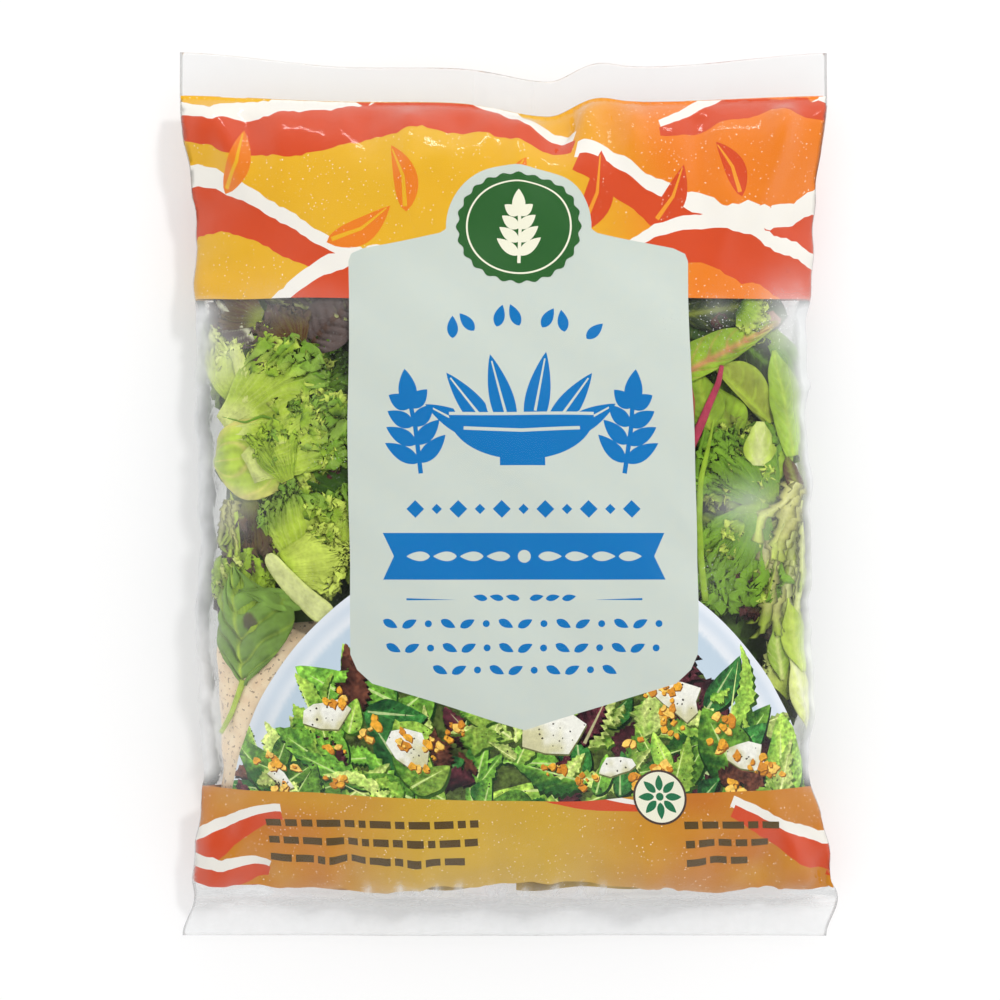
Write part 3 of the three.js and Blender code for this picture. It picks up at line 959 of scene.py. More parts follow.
plate = {
    "x": 4.0, "y": -109.6, "radius": 95.7, "rim": 8.0, "leaves": 225, "crumbs": 36, "pepper": 170,
    "heapLeft": -86, "heapRight": 96, "heapLow": -99.5,
}
plateGreens = [
    (srgb(128, 186, 62), srgb(38, 96, 34)), (srgb(176, 212, 84), srgb(84, 142, 42)),
    (srgb(214, 228, 132), srgb(132, 172, 62)), (srgb(62, 136, 58), srgb(20, 66, 34)),
]
plateReds = [(srgb(98, 44, 54), srgb(34, 14, 22)), (srgb(112, 64, 48), srgb(46, 24, 22))]


def plateEdge():
    turn = np.radians(np.linspace(171.5, 8.5, 150))
    x = plate["x"] + plate["radius"] * np.cos(turn)
    y = plate["y"] + plate["radius"] * np.sin(turn)
    rim = np.column_stack(fromFront(x, y))
    across = np.linspace(rim[-1, 0], rim[0, 0], 120)
    low = np.column_stack([across, bottomBandTop(across)])
    return np.vstack([rim[rim[:, 1] > low[0, 1]], low])


def platePaint(places):
    seen = smoothFilm(places[:, 0], places[:, 1])
    reach = np.hypot(seen[:, 0] - plate["x"], seen[:, 1] - plate["y"])
    inward = plate["radius"] - reach
    tone = tinted(srgb(228, 233, 240), srgb(210, 220, 231), smooth(0.8, 3.2, inward))
    tone = tinted(tone, srgb(230, 234, 239), smooth(3.5, plate["rim"] - 1, inward))
    tone = tinted(tone, srgb(192, 209, 223), smooth(plate["rim"] - 1, plate["rim"] + 0.8, inward))
    tone = tinted(tone, srgb(203, 218, 229), smooth(plate["rim"] + 0.5, 30, inward))
    return tinted(tone, srgb(172, 192, 202), 0.2 * smooth(-30, -90, seen[:, 0]))


def heapTop(x):  # how high the printed salad reaches
    mound = -95 + 54 * (1 - np.abs((x - 5) / 92) ** 3.0)
    return mound + 4.5 * np.sin(x * 0.21 + 0.6) + 2.5 * np.sin(x * 0.63 + 1)


def leafPaint(x, y, turn, length, width, light, dark):
    angle = math.radians(turn)

    def paint(places):
        offX, offY = places[:, 0] - x, places[:, 1] - y
        u = offX * math.cos(angle) + offY * math.sin(angle)
        v = offY * math.cos(angle) - offX * math.sin(angle)
        s, t = v / length, 2 * u / width
        climb = s * 5.5 - 1.3 * np.abs(t)
        off = climb - np.round(climb)
        share = 0.5 + 0.32 * t + 0.4 * noise(u / 2.2 + x, v / 2.6 + y) - 0.25 * np.abs(t)
        share = share + 0.4 * bell(off, 0.13) + 0.5 * bell(t, 0.13) - 0.35 * smooth(0.35, 0.0, s)
        return tinted(dark, light, np.clip(share, 0, 1.25))

    return paint


def frilledOutline(rng, length, width, bend, lobes=0.0, steps=22):  # a leaf with uneven lobes and teeth
    share = np.linspace(0, 1, steps)
    sides = []
    for side in (1, -1):
        start = rng.uniform(0, 60)
        half = width / 2 * np.sin(math.pi * share**0.72) ** 0.8
        half = half * (1 + 0.3 * noise(share * 3.4 + start, 0.5) + lobes * noise(share * 9 + start, 3.5))
        jag = 1 - 0.28 * (lobes > 0) * (np.arange(steps) % 2)
        sides.append(np.column_stack([bend * np.sin(math.pi * share) + side * half * jag, share * length]))
    return np.vstack([sides[0], sides[1][-2:0:-1]])


def addPlateLeaf(drawing, rng, x, y, turn, length, width, tones, lobes=0.0, ribbed=True):
    light, dark = tones
    fade = rng.uniform(0.55, 1.05)
    outline = frilledOutline(rng, length, width, rng.uniform(-0.16, 0.16) * length, lobes)
    drawing.add(turned(outline * [1.08, 1.0], x + 0.4, y - 0.8, turn), dark * 0.3, 0.6)
    paint = leafPaint(x, y, turn, length, width, light * fade, dark * fade)
    drawing.add(turned(outline, x, y, turn), paint, 1.0)
    if ribbed:
        line = [(0, 0.04 * length), (0, 0.5 * length), (0, 0.8 * length)]
        rib = ribbonOutline(line, [0.1 * width, 0.06 * width, 0.1])
        drawing.add(turned(rib, x, y, turn), mix(light, srgb(226, 232, 170), 0.5), 0.4)


def roundOutline(rng, x, y, size, points=11, uneven=0.25, flat=0.8):
    turn = np.linspace(0, 2 * math.pi, points, endpoint=False)
    start, lean = rng.uniform(0, 60), rng.uniform(0, math.pi)
    reach = size * (1 + uneven * noise(2 * np.cos(turn) + start, 2 * np.sin(turn)))
    long, wide = reach * np.cos(turn), flat * reach * np.sin(turn)
    return np.column_stack([x + long * math.cos(lean) - wide * math.sin(lean),
                            y + long * math.sin(lean) + wide * math.cos(lean)])


def addPlateLeaves(drawing, rng):
    places = []
    while len(places) < plate["leaves"]:
        x = rng.uniform(plate["heapLeft"], plate["heapRight"])
        y = rng.uniform(-99, max(heapTop(x) - 5, -97))
        if y > -62 and abs(x - label["middle"]) < 40:
            continue
        places.append((x, y))
    for x, y in sorted(places, key=lambda place: -place[1] + rng.uniform(-9, 9)):
        outward = math.degrees(math.atan2(-(x - plate["x"]), y - plate["y"] + 20))
        turn = outward + rng.normal(0, 62)
        length = rng.uniform(10, 20) if rng.random() < 0.68 else rng.uniform(20, 30)
        choice = rng.random()
        if choice < 0.34:  # toothed pale green strips
            tones = plateGreens[rng.integers(0, 3)]
            addPlateLeaf(drawing, rng, x, y - 5, turn, length, length * rng.uniform(0.22, 0.4), tones, 0.5)
        elif choice < 0.62:  # plain leaves
            tones = plateGreens[rng.choice([0, 0, 1, 3])]
            addPlateLeaf(drawing, rng, x, y - 5, turn, length, length * rng.uniform(0.36, 0.6), tones)
        elif choice < 0.8:  # curly pale pieces
            tones = plateGreens[rng.integers(1, 3)]
            addPlateLeaf(drawing, rng, x, y - 4, turn, 0.7 * length, length * 0.4, tones, 0.8, False)
        else:  # dark red ones
            tones = plateReds[rng.integers(0, 2)]
            ribbed = rng.random() < 0.3
            addPlateLeaf(drawing, rng, x, y - 4, turn, 0.8 * length, length * 0.42, tones, 0.7, ribbed)


shavings = [  # x, y and size
    (-60, -70, 7), (-33, -83, 7.5), (14, -76, 9.5), (36, -88, 5.5), (56, -66, 8.5), (80, -84, 6.5),
    (-76, -92, 4),
]
crumbColours = [(228, 164, 48), (206, 134, 38), (240, 196, 92)]


def addShaving(drawing, rng, x, y, size):  # a pale chip with a shaded side and pepper on it
    curl = roundOutline(rng, x, y, size, 9, 0.5, rng.uniform(0.5, 0.75))
    drawing.add(curl + [0.2, -0.6], srgb(104, 108, 64), 0.5)
    angle = rng.uniform(0.6, 2.4)

    def paint(places):
        off = ((places[:, 0] - x) * math.cos(angle) + (places[:, 1] - y) * math.sin(angle)) / size
        uneven = 0.7 * noise(places[:, 0] / 2.4, places[:, 1] / 2.4)
        return tinted(srgb(206, 202, 158), srgb(238, 237, 226), smooth(-0.9, 0.4, off + uneven))

    drawing.add(curl, paint, 0.14)
    for _ in range(rng.integers(3, 9)):
        spot = rng.normal((x, y), 0.35 * size)
        drawing.add(roundOutline(rng, *spot, rng.uniform(0.22, 0.5), 5), srgb(52, 44, 30))


def addToppings(drawing, rng):
    for x, y, size in shavings:
        addShaving(drawing, rng, x, y, size)
    for _ in range(plate["crumbs"]):  # golden crumbs, in small heaps
        x = rng.uniform(plate["heapLeft"] + 6, plate["heapRight"] - 4)
        y = rng.uniform(-96, max(heapTop(x) - 7, -95))
        for _ in range(rng.integers(3, 10)):
            size = rng.uniform(0.5, 1.9)
            spot = roundOutline(rng, x + rng.normal(0, 2.0), y + rng.normal(0, 1.4), size, 8, 0.5)
            drawing.add(spot + [0.3, -0.4], srgb(140, 84, 22))
            drawing.add(spot, srgb(*crumbColours[rng.integers(0, 3)]), 0.5)
    for _ in range(plate["pepper"]):
        x = rng.uniform(plate["heapLeft"] + 4, plate["heapRight"] - 4)
        y = rng.uniform(-97, max(heapTop(x) - 12, -96))
        drawing.add(roundOutline(rng, x, y, rng.uniform(0.22, 0.42), 5), srgb(40, 34, 24))


def heapPaint(places):  # the dark ground between the printed leaves
    uneven = 0.5 + 0.5 * noise(places[:, 0] / 2.5, places[:, 1] / 2.5)
    return tinted(srgb(26, 30, 18), srgb(84, 104, 42), uneven)


def makePlate():
    rng = np.random.default_rng(12)
    drawing = Drawing()
    drawing.add(plateEdge(), platePaint)
    left, right, low = plate["heapLeft"], plate["heapRight"], plate["heapLow"]
    across = np.linspace(left + 4, right - 3, 60)
    top = np.column_stack([across, heapTop(across) - 7])
    drawing.add(np.vstack([top, [(right, low), (left, low)]]), heapPaint, 1.0)
    addPlateLeaves(drawing, rng)
    addToppings(drawing, rng)
    drawing.add(labelEdge, None)
    printSheet("platePrint", drawing, 1.3, 1.3, material=plateInk)


smallSeal = {
    "x": 49.5, "y": -98.3, "radius": 9.0, "rim": 0.7, "centre": 1.3, "leaves": 8, "leaf": (5.4, 2.5),
    "foot": 1.9, "rimColour": srgb(74, 58, 52), "leafColour": srgb(28, 112, 72),
}


def makeSmallSeal():  # a small plain round mark over the lower band
    x, y, radius, paint = smallSeal["x"], smallSeal["y"], smallSeal["radius"], smallSeal["leafColour"]
    drawing = Drawing()
    drawing.add(ring(x, y, radius, radius, 60), smallSeal["rimColour"])
    drawing.add(ring(x, y, radius - smallSeal["rim"], radius - smallSeal["rim"], 60), inkColours["cream"])
    for step in range(smallSeal["leaves"]):
        turn = 360 / smallSeal["leaves"] * step
        foot = turned([(0, smallSeal["foot"])], x, y, turn)[0]
        drawing.add(turned(leafOutline(*smallSeal["leaf"]), *foot, turn), paint)
    drawing.add(ring(x, y, smallSeal["centre"], smallSeal["centre"], 20), paint)
    printSheet("smallSeal", drawing, 1.0, 0.7, overPrint)


backPanels = {
    "inner": 18, "outer": 92, "low": -78, "high": 52, "corner": 6, "margin": 7, "rowGap": 6.2,
    "dashHeight": 1.5, "dashGap": 2, "dashColour": srgb(104, 122, 112),
}


def makeBackPanels():  # two plain pale panels beside the lap seam
    inner, outer, low, high = (backPanels[key] for key in ("inner", "outer", "low", "high"))
    corner, margin = backPanels["corner"], backPanels["margin"]
    for side, name in ((1, "backPanelLeft"), (-1, "backPanelRight")):
        drawing = Drawing()
        near, far = side * (halfTube - outer), side * (halfTube - inner)
        left, right = min(near, far), max(near, far)
        turn = np.radians(np.arange(0, 360, 11.25))
        x = np.where(np.cos(turn) > 0, right - corner, left + corner) + corner * np.cos(turn)
        y = np.where(np.sin(turn) > 0, high - corner, low + corner) + corner * np.sin(turn)
        drawing.add(np.column_stack([x, y]), inkColours["sage"])
        rng = np.random.default_rng(5 + side)
        for along in np.arange(low + 12, high - 8, backPanels["rowGap"]):  # plain dashes, as if small print
            place = left + margin
            while place < right - margin - 1:
                dash = min(rng.uniform(4, 14), right - margin - place)
                if rng.random() < 0.85:
                    outline = barOutline(place + dash / 2, along, dash, backPanels["dashHeight"])
                    drawing.add(outline, backPanels["dashColour"])
                place += dash + backPanels["dashGap"]
        printSheet(name, drawing, 2.3, 1.6)


makeTopBand()
makeBottomBand()
makeLabel()
makeBadge()
makePlate()
makeSmallSeal()
makeBackPanels()


# Leaves. Each is a thin wavy solid in its own places u, v and w; it is then laid on the inside of
# the film at a place, a turn and a depth, and flattens where it presses on the film.

leafColours = {
    "cream": srgb(238, 240, 200), "pale": srgb(220, 230, 136), "bright": srgb(202, 220, 94),
    "lime": srgb(178, 204, 62), "light": srgb(148, 182, 48), "edge": srgb(108, 152, 36),
    "spinach": srgb(120, 156, 64), "deep": srgb(56, 90, 26), "shade": srgb(40, 56, 20),
    "olive": srgb(142, 154, 54), "haze": srgb(110, 128, 66), "frisee": srgb(216, 216, 122),
    "cup": srgb(238, 216, 134), "rib": srgb(214, 220, 150), "mauve": srgb(96, 82, 78),
    "purple": srgb(84, 60, 60), "wine": srgb(84, 38, 40), "brown": srgb(88, 56, 32),
    "brownish": srgb(176, 96, 70), "magenta": srgb(172, 56, 80), "pink": srgb(214, 140, 100),
    "blush": srgb(206, 160, 140),
}
leafKinds = {  # colours at the stalk, over the body and at the edge
    "green": ("pale", "lime", "edge"), "light": ("lime", "light", "light"),
    "deepGreen": ("light", "edge", "deep"), "midGreen": ("light", "edge", "edge"),
    "yellow": ("lime", "bright", "pale"), "yellowGreen": ("lime", "bright", "bright"),
    "bright": ("pale", "bright", "pale"), "frill": ("deep", "light", "bright"),
    "purple": ("olive", "brown", "purple"), "wine": ("brown", "wine", "purple"),
    "brown": ("olive", "brown", "wine"), "blush": ("blush", "blush", "mauve"),
    "dark": ("shade", "shade", "wine"),
}


def airGap(across, along):  # how far the leaves stay from the film
    side = np.abs(np.abs(across) - foldLine - 4)
    return 0.6 + 0.6 * bell(side, 16) + 1.5 * smooth(96, 126, np.abs(along))


def laidDepth(across, along, depth, press):
    gap = airGap(across, along) + press  # a leaf that lies deeper can't rise through those above it
    soft = gap + 0.8 * np.logaddexp(0, (depth - gap) / 0.8)
    return np.minimum(soft, np.maximum(np.minimum(15, 0.36 * thickness(along)), 0.8))


def roundTheSide(x, y):  # film places for front view places; past the bag's side they run on round it
    off = x - sideways(y)
    limit = halfWidth(y) - 7
    inside = np.clip(off, -limit, limit)
    across, along = fromFront(inside + sideways(y), y)
    return across + np.where(off > 0, 1.6, 1.3) * (off - inside), along


class Heap:  # leaves joined in one piece, placed in the front view or by film places
    def __init__(self, front=False):
        self.front = front
        self.across, self.along, self.depth, self.press, self.tint, self.faces = [], [], [], [], [], []
        self.count = 0

    def put(self, place, u, v, w, tint):
        across, along, turn, depth, size = place
        turn = math.radians(turn)
        self.across.append((across + size * (u * math.cos(turn) - v * math.sin(turn))).ravel())
        self.along.append((along + size * (u * math.sin(turn) + v * math.cos(turn))).ravel())
        self.depth.append((depth - size * w).ravel())
        self.press.append(np.full(w.size, max(0.0, 0.7 * (depth - 1))))
        self.tint.append(np.broadcast_to(tint, (*w.shape, 3)).reshape(-1, 3))
        first = self.count
        self.count += w.size
        return first

    def addSheet(self, place, sheet, thick=0.35):  # a closed solid: upper side, under side and rim
        u, v, w, tint = sheet
        rows, columns = w.shape
        upper = self.put(place, u, v, w, tint)
        lower = self.put(place, u, v, w - thick, tint * 0.9)
        k = (np.arange(rows - 1)[:, None] * columns + np.arange(columns - 1)[None, :]).ravel()
        self.faces.append(np.column_stack([k, k + columns, k + columns + 1, k + 1]) + upper)
        self.faces.append(np.column_stack([k, k + 1, k + columns + 1, k + columns]) + lower)
        edge = np.concatenate([
            np.arange(columns - 1), np.arange(rows - 1) * columns + columns - 1,
            (rows - 1) * columns + np.arange(columns - 1, 0, -1), np.arange(rows - 1, 0, -1) * columns])
        follow = np.roll(edge, -1)
        self.faces.append(np.column_stack([edge + upper, follow + upper, follow + lower, edge + lower]))

    def addTube(self, place, path, radii, tint, sides=10):  # a closed stalk along a path
        path = np.asarray(path, float)
        run = np.gradient(path, axis=0)
        run /= np.linalg.norm(run, axis=1, keepdims=True)
        turn = np.linspace(0, 2 * math.pi, sides, endpoint=False)[None, :]
        reach = np.asarray(radii, float)[:, None]
        u = path[:, :1] - run[:, 1:2] * reach * np.cos(turn)
        v = path[:, 1:2] + run[:, :1] * reach * np.cos(turn)
        w = path[:, 2:3] + reach * np.sin(turn)
        first = self.put(place, u, v, w, tint)
        rows = len(path)
        k = np.arange(rows - 1)[:, None] * sides
        j = np.arange(sides)[None, :]
        a, b = k + j, k + (j + 1) % sides
        self.faces.append(np.stack([a, b, b + sides, a + sides], axis=2).reshape(-1, 4) + first)
        self.faces.append(np.arange(first + sides - 1, first - 1, -1)[None, :])
        self.faces.append(np.arange(sides)[None, :] + first + (rows - 1) * sides)

    def finish(self, name, material, slot="leaf", shading=0.66):
        across, along = np.concatenate(self.across), np.concatenate(self.along)
        if self.front:
            across, along = roundTheSide(across, along)
        across, along = wrapped(across), np.clip(along, bottomSealLine + 6, topSealLine - 7)
        depth = laidDepth(across, along, np.concatenate(self.depth), np.concatenate(self.press))
        points = filmPoints(across, along, depth, False)
        paintedDepthShade = smooth(0.8, 6.5, depth - airGap(across, along))  # painted shade: what lies deep is darkened, as little light reaches it
        tint = np.concatenate(self.tint) * (1 - shading * paintedDepthShade)[:, None]
        faces = [face for block in self.faces for face in block.tolist()]
        piece = makePiece(name, points, faces, material, tint=tint)
        print(name, "ready:", len(piece.data.loops) - 2 * len(piece.data.polygons), "triangles")


def between(foot, tip, depth):  # the place and the length of a leaf that runs from its foot to its tip
    run = np.subtract(tip, foot)
    return (*foot, math.degrees(math.atan2(-run[0], run[1])), depth, 1.0), float(np.hypot(*run))


def fanLeaf(rng, length, spread, frill, folds, kind, stalk=2.2, grid=(132, 24), teeth=0.07, lobes=12,
            veined=0.3, begins=0.42):  # a leaf that widens from its stalk and ruffles towards its edge
    theta = np.linspace(-1, 1, grid[0])[:, None]
    rho = np.linspace(0, 1, grid[1])[None, :] ** 0.8
    start = rng.uniform(0, 60)
    reach = length * (0.74 + 0.26 * np.cos(1.4 * theta)) * (1 + 0.13 * noise(theta * 2.6 + start, 0.5))
    jag = theta * lobes + 0.8 * noise(theta * 6 + start, 8.5)
    jag = 2 * np.abs(jag - np.round(jag)) - 0.5 + 0.6 * noise(theta * lobes * 0.7 + start, 5.5)
    reach = reach * (1 + teeth * smooth(0.62, 1, rho) * jag)
    angle = math.radians(spread) * theta + 0.12 * noise(theta * 3 + start, rho * 2)
    phase = folds * math.pi * theta + 3.2 * noise(theta * 4.5 + start, 3.5)
    phase = phase + 3.4 * rho * noise(theta * 7 + start, rho * 4 + 2)
    small = 2.7 * phase + 4.2 * noise(theta * 14 + start, 6.5 + 5 * rho)
    uneven = 0.62 + 0.5 * noise(theta * 5 + start, 9.3)
    curl = frill * uneven * smooth(begins, 1.0, rho) ** 1.4
    curlet = 0.5 * frill * smooth(begins + 0.14, 1.0, rho) ** 1.3
    radial = reach * (0.02 + 0.98 * rho) + 0.5 * curl * np.cos(2 * phase + 0.6)
    radial = radial + 0.6 * curlet * np.cos(2 * small)
    aside = 0.9 * curl * np.sin(2 * phase) + 0.8 * curlet * np.sin(2 * small + 0.4)
    u = radial * np.sin(angle) + aside * np.cos(angle) + stalk * theta * (1 - rho)
    v = radial * np.cos(angle) - aside * np.sin(angle)
    pattern = theta + 0.05 * noise(rho * 5 + start, start)
    veins = np.zeros(np.broadcast(theta, rho).shape)
    for count, starts in ((3, 0.0), (7, 0.2), (15, 0.45)):
        off = pattern * count - np.round(pattern * count)
        fading = smooth(starts, starts + 0.15, rho) * (1 - 0.5 * rho)
        veins = np.maximum(veins, bell(off, 0.04 + 0.012 * count) * fading)
    ruffle = curl * np.sin(phase) + curlet * np.sin(small)
    w = ruffle + 0.8 * noise(u / 5.4 + start, v / 5.4) * smooth(0.1, 0.4, rho) + 1.4 * veined * veins
    w = w + 1.1 * noise(u / 11 + start, v / 11)
    pale, body, edge = (leafColours[name] for name in leafKinds[kind])
    patch = 0.16 * noise(u / 9 + start, v / 9)
    tint = tinted(pale, body, smooth(0.02, 0.4, rho + patch))
    tint = tinted(tint, edge, smooth(0.5, 1.02, rho + patch))
    tint = tinted(tint, pale, veined * veins)
    # painted shade in the ruffles' valleys and painted light on their crests, with a little random tone
    crest = ruffle / max(frill, 0.5)
    light = 1 - 0.72 * smooth(0.1, -0.8, crest) + 0.18 * smooth(0.1, 1.0, crest)
    light = light + 0.12 * noise(u / 6 + start, v / 6)
    return u, v, w, tint * light[..., None]


def sideRun(widths, s):  # smooth half widths along a leaf, from its foot to its tip
    run = np.interp(s, np.linspace(0, 1, len(widths)), widths)
    reach = max(1, round(0.4 * len(s) / len(widths)))
    padded = np.pad(run, reach, mode="edge")
    return np.convolve(padded, np.full(2 * reach + 1, 1 / (2 * reach + 1)), "valid")


evenBlade = (0.6, 2.6, 4.3, 5.0, 5.0, 4.4, 3.2, 1.6, 0.3)  # half widths of a plain leaf that is 10 wide


def bladeLeaf(rng, length, left, right, body, vein, fold=0.12, quilt=0.8, waves=1.0, pairs=7, grid=(38, 20),
              ribWidth=0.85, hem=0.0, streaks=0.0, spot=None):  # a smooth leaf with a midrib and side veins
    stations = np.linspace(0, 1, grid[0])
    s, t = stations[:, None], np.linspace(-1, 1, grid[1])[None, :]
    start = rng.uniform(0, 60)
    half = np.where(t < 0, sideRun(left, stations)[:, None], sideRun(right, stations)[:, None])
    half = half * (1 + 0.05 * noise(s * 6 + start, np.sign(t) * 3))
    u = t * half
    v = s * length + 0.0 * t
    aside = np.abs(t)
    climb = s * pairs - 1.5 * aside**1.15 + 0.22 * noise(s * 5 + start, t * 2)
    off = climb - np.round(climb)
    sideVeins = bell(off, 0.07) * smooth(0.02, 0.12, aside) * (1 - 0.65 * aside)
    midrib = bell(t * half, ribWidth) * (1 - 0.4 * s)
    w = fold * aside * half - quilt * (bell(off, 0.22) - 0.5) * (1 - aside**4)
    w = w + 0.4 * quilt * noise(u / 3 + start, v / 3)
    w = w + waves * aside**2.5 * np.sin(s * 9 + start + np.sign(t)) + 0.5 * noise(u / 7 + start, v / 7)
    lines = np.sin(half * t * 2.1 + 1.8 * noise(s * 3 + start, t * 3)) * streaks
    w = w + 0.35 * lines
    atEdge = smooth(0.6, 1, aside)
    uneven = 0.5 + 0.5 * noise(u / 8 + start, v / 8)
    tint = tinted(body * 1.25, body * 0.55, np.clip(uneven * 0.6 - 0.2 * lines + 0.25 * atEdge, 0, 1.3))
    tint = tinted(tint, vein, np.clip(0.68 * sideVeins + 0.95 * midrib + hem * atEdge, 0, 1))
    if spot:  # a small bruise
        acrossSpot, alongSpot, reach = spot
        off = np.hypot(u - acrossSpot, (v - alongSpot) * 0.7)
        tint = tinted(tint, leafColours["purple"], 0.8 * smooth(reach * 1.1, reach * 0.8, off))
    return u, v, w, tint


def plain(width):  # both sides of a plain leaf of that width
    half = [value * width / 10 for value in evenBlade]
    return half, half


def ribPiece(rng, length, width, height, tone, side, taper):  # a cut piece of a thick pale rib
    s, t = np.linspace(0, 1, 40)[:, None], np.linspace(-1, 1, 14)[None, :]
    start = rng.uniform(0, 60)
    ends = (1 - np.abs(2 * s - 1) ** 8) ** 0.5
    half = width / 2 * ends * (1 + taper * (2 * s - 1)) * (1 + 0.08 * noise(s * 4 + start, np.sign(t))) + 0.2
    u = t * half + 0.05 * length * np.sin(math.pi * s)
    v = s * length + 0.0 * t
    w = height * np.sqrt(np.clip(1 - t**2, 0, 1)) * ends
    w = w + 0.3 * noise(s * 7 + start, t * 2) + 0.12 * np.sin(t * 14)
    streak = 0.5 + 0.5 * np.sin(t * 15 + 3 * noise(s * 2 + start, t * 2))
    share = 0.3 * streak + 0.5 * smooth(0.5, 1, np.abs(t)) + 0 * w
    tint = tinted(leafColours[tone], leafColours[side], share)
    return u, v, w, tint


def strap(rng, length, strand, part, base, end, spread, broad, start):  # one thin jagged strip of a bunch
    s, t = np.linspace(0, 1, 40)[:, None], np.linspace(-1, 1, 5)[None, :]
    reach = length * rng.uniform(0.62, 1.0)
    sway = math.radians(spread * 2 * part) * s + 0.26 * noise(s * 2.4 + strand * 3.1, start)
    saw = s * rng.uniform(5, 8) + 0.4 * np.sign(t)
    barbs = 1 + 0.9 * (saw - np.floor(saw)) ** 1.5 * np.abs(t)
    half = broad * rng.uniform(0.7, 1.3) * (1 - 0.45 * s) * barbs
    twist = 0.8 * np.sin(s * rng.uniform(4, 8) + strand)
    u = broad * 1.6 * part + reach * s * np.sin(sway) + t * half * np.cos(twist)
    v = reach * s * np.cos(sway) + 0.0 * t
    w = t * half * np.sin(twist) + 1.2 * noise(s * 3 + strand, 4.4) + rng.uniform(-1.4, 1.0)
    share = smooth(0.45, 1, s + 0.2 * noise(s * 7, strand)) + 0 * w
    tint = tinted(leafColours[base], leafColours[end], share)
    tint = tinted(tint, leafColours["cream"], 0.4 * bell(t, 0.4) * (1 - s))
    return u, v, w, tint * (1 - 0.72 * smooth(0.25, 1, np.abs(t)))[..., None] * rng.uniform(0.62, 1.1)


class FrontLeaves:  # places leaves in the front view, mostly by foot and tip, each kind in a heap of its own
    def __init__(self, heaps, seed):
        self.heaps, self.rng = heaps, np.random.default_rng(seed)

    def frills(self, heap, foot, tip, depth, spread, count, kind="frill", size=6.0, inner=0.62):
        place, length = between(foot, tip, depth)  # small toothed flaps near a leaf's outer edge
        rng = self.rng
        for _ in range(count):
            theta, rho, layer = rng.uniform(-1, 1), rng.uniform(inner, 0.95), rng.uniform(0, 1)
            angle = place[2] - spread * theta
            reach = length * rho * (0.74 + 0.26 * math.cos(1.4 * theta))
            x = foot[0] - reach * math.sin(math.radians(angle))
            y = foot[1] + reach * math.cos(math.radians(angle))
            long, wide, frill = size * rng.uniform(0.7, 1.4), rng.uniform(34, 72), rng.uniform(0.9, 2.0)
            flap = fanLeaf(rng, long, wide, frill, 2.2, kind, 0.8, (22, 6), 0.3, 2.6, 0.2, 0.2)
            # painted shade: flaps that lie deeper are darker, those nearest the film lighter
            flap = (*flap[:3], flap[3] * mix(1.14, 0.34, layer))
            turn = angle + rng.normal(0, 40)
            self.heaps[heap].addSheet((x, y, turn, depth + mix(-0.6, 3.0, layer), 1.0), flap, 0.3)

    def fan(self, foot, tip, depth, spread, frill, folds, kind, frills=0, size=6.0, inner=0.62, **shape):
        place, length = between(foot, tip, depth)
        self.heaps["frilly"].addSheet(place, fanLeaf(self.rng, length, spread, frill, folds, kind, **shape))
        flapKind = "frill" if kind in ("green", "midGreen", "yellowGreen") else kind
        self.frills("flaps", foot, tip, depth, spread, frills, flapKind, size, inner)

    def redFan(self, foot, tip, depth, spread, frill, folds, kind, grid=(66, 14), teeth=0.16):
        place, length = between(foot, tip, depth)
        leaf = fanLeaf(self.rng, length, spread, frill, folds, kind, 2, grid, teeth, 6)
        self.heaps["red"].addSheet(place, leaf)

    def blade(self, foot, tip, depth, left, right, body, vein, **shape):
        place, length = between(foot, tip, depth)
        blade = bladeLeaf(self.rng, length, left, right, leafColours[body], leafColours[vein], **shape)
        self.heaps["smooth"].addSheet(place, blade)

    def rib(self, foot, tip, depth, width, height, tone, side, taper=0.12):
        place, length = between(foot, tip, depth)
        self.heaps["strips"].addSheet(place, ribPiece(self.rng, length, width, height, tone, side, taper))

    def straps(self, foot, tip, depth, strands, base, end, spread, broad):
        place, length = between(foot, tip, depth)
        for strand in range(strands):
            part = strand / (strands - 1) - 0.5
            sheet = strap(self.rng, length, strand, part, base, end, spread, broad, foot[0])
            self.heaps["strips"].addSheet(place, sheet, 0.4)

    def stem(self, path, depth, widths, tone, count=26):  # a stalk through a few places of the front view
        path = np.asarray(path, float)
        share = np.linspace(0, len(path) - 1, count)
        run = np.column_stack([np.interp(share, range(len(path)), path[:, axis]) for axis in (0, 1)])
        run[1:-1] = 0.25 * run[:-2] + 0.5 * run[1:-1] + 0.25 * run[2:]
        line = np.column_stack([run - run[0], 0.25 * np.sin(0.4 * share)])
        radii = np.interp(share, np.linspace(0, len(path) - 1, len(widths)), widths) / 2
        self.heaps["smooth"].addTube((*run[0], 0, depth, 1.0), line, radii, leafColours[tone])


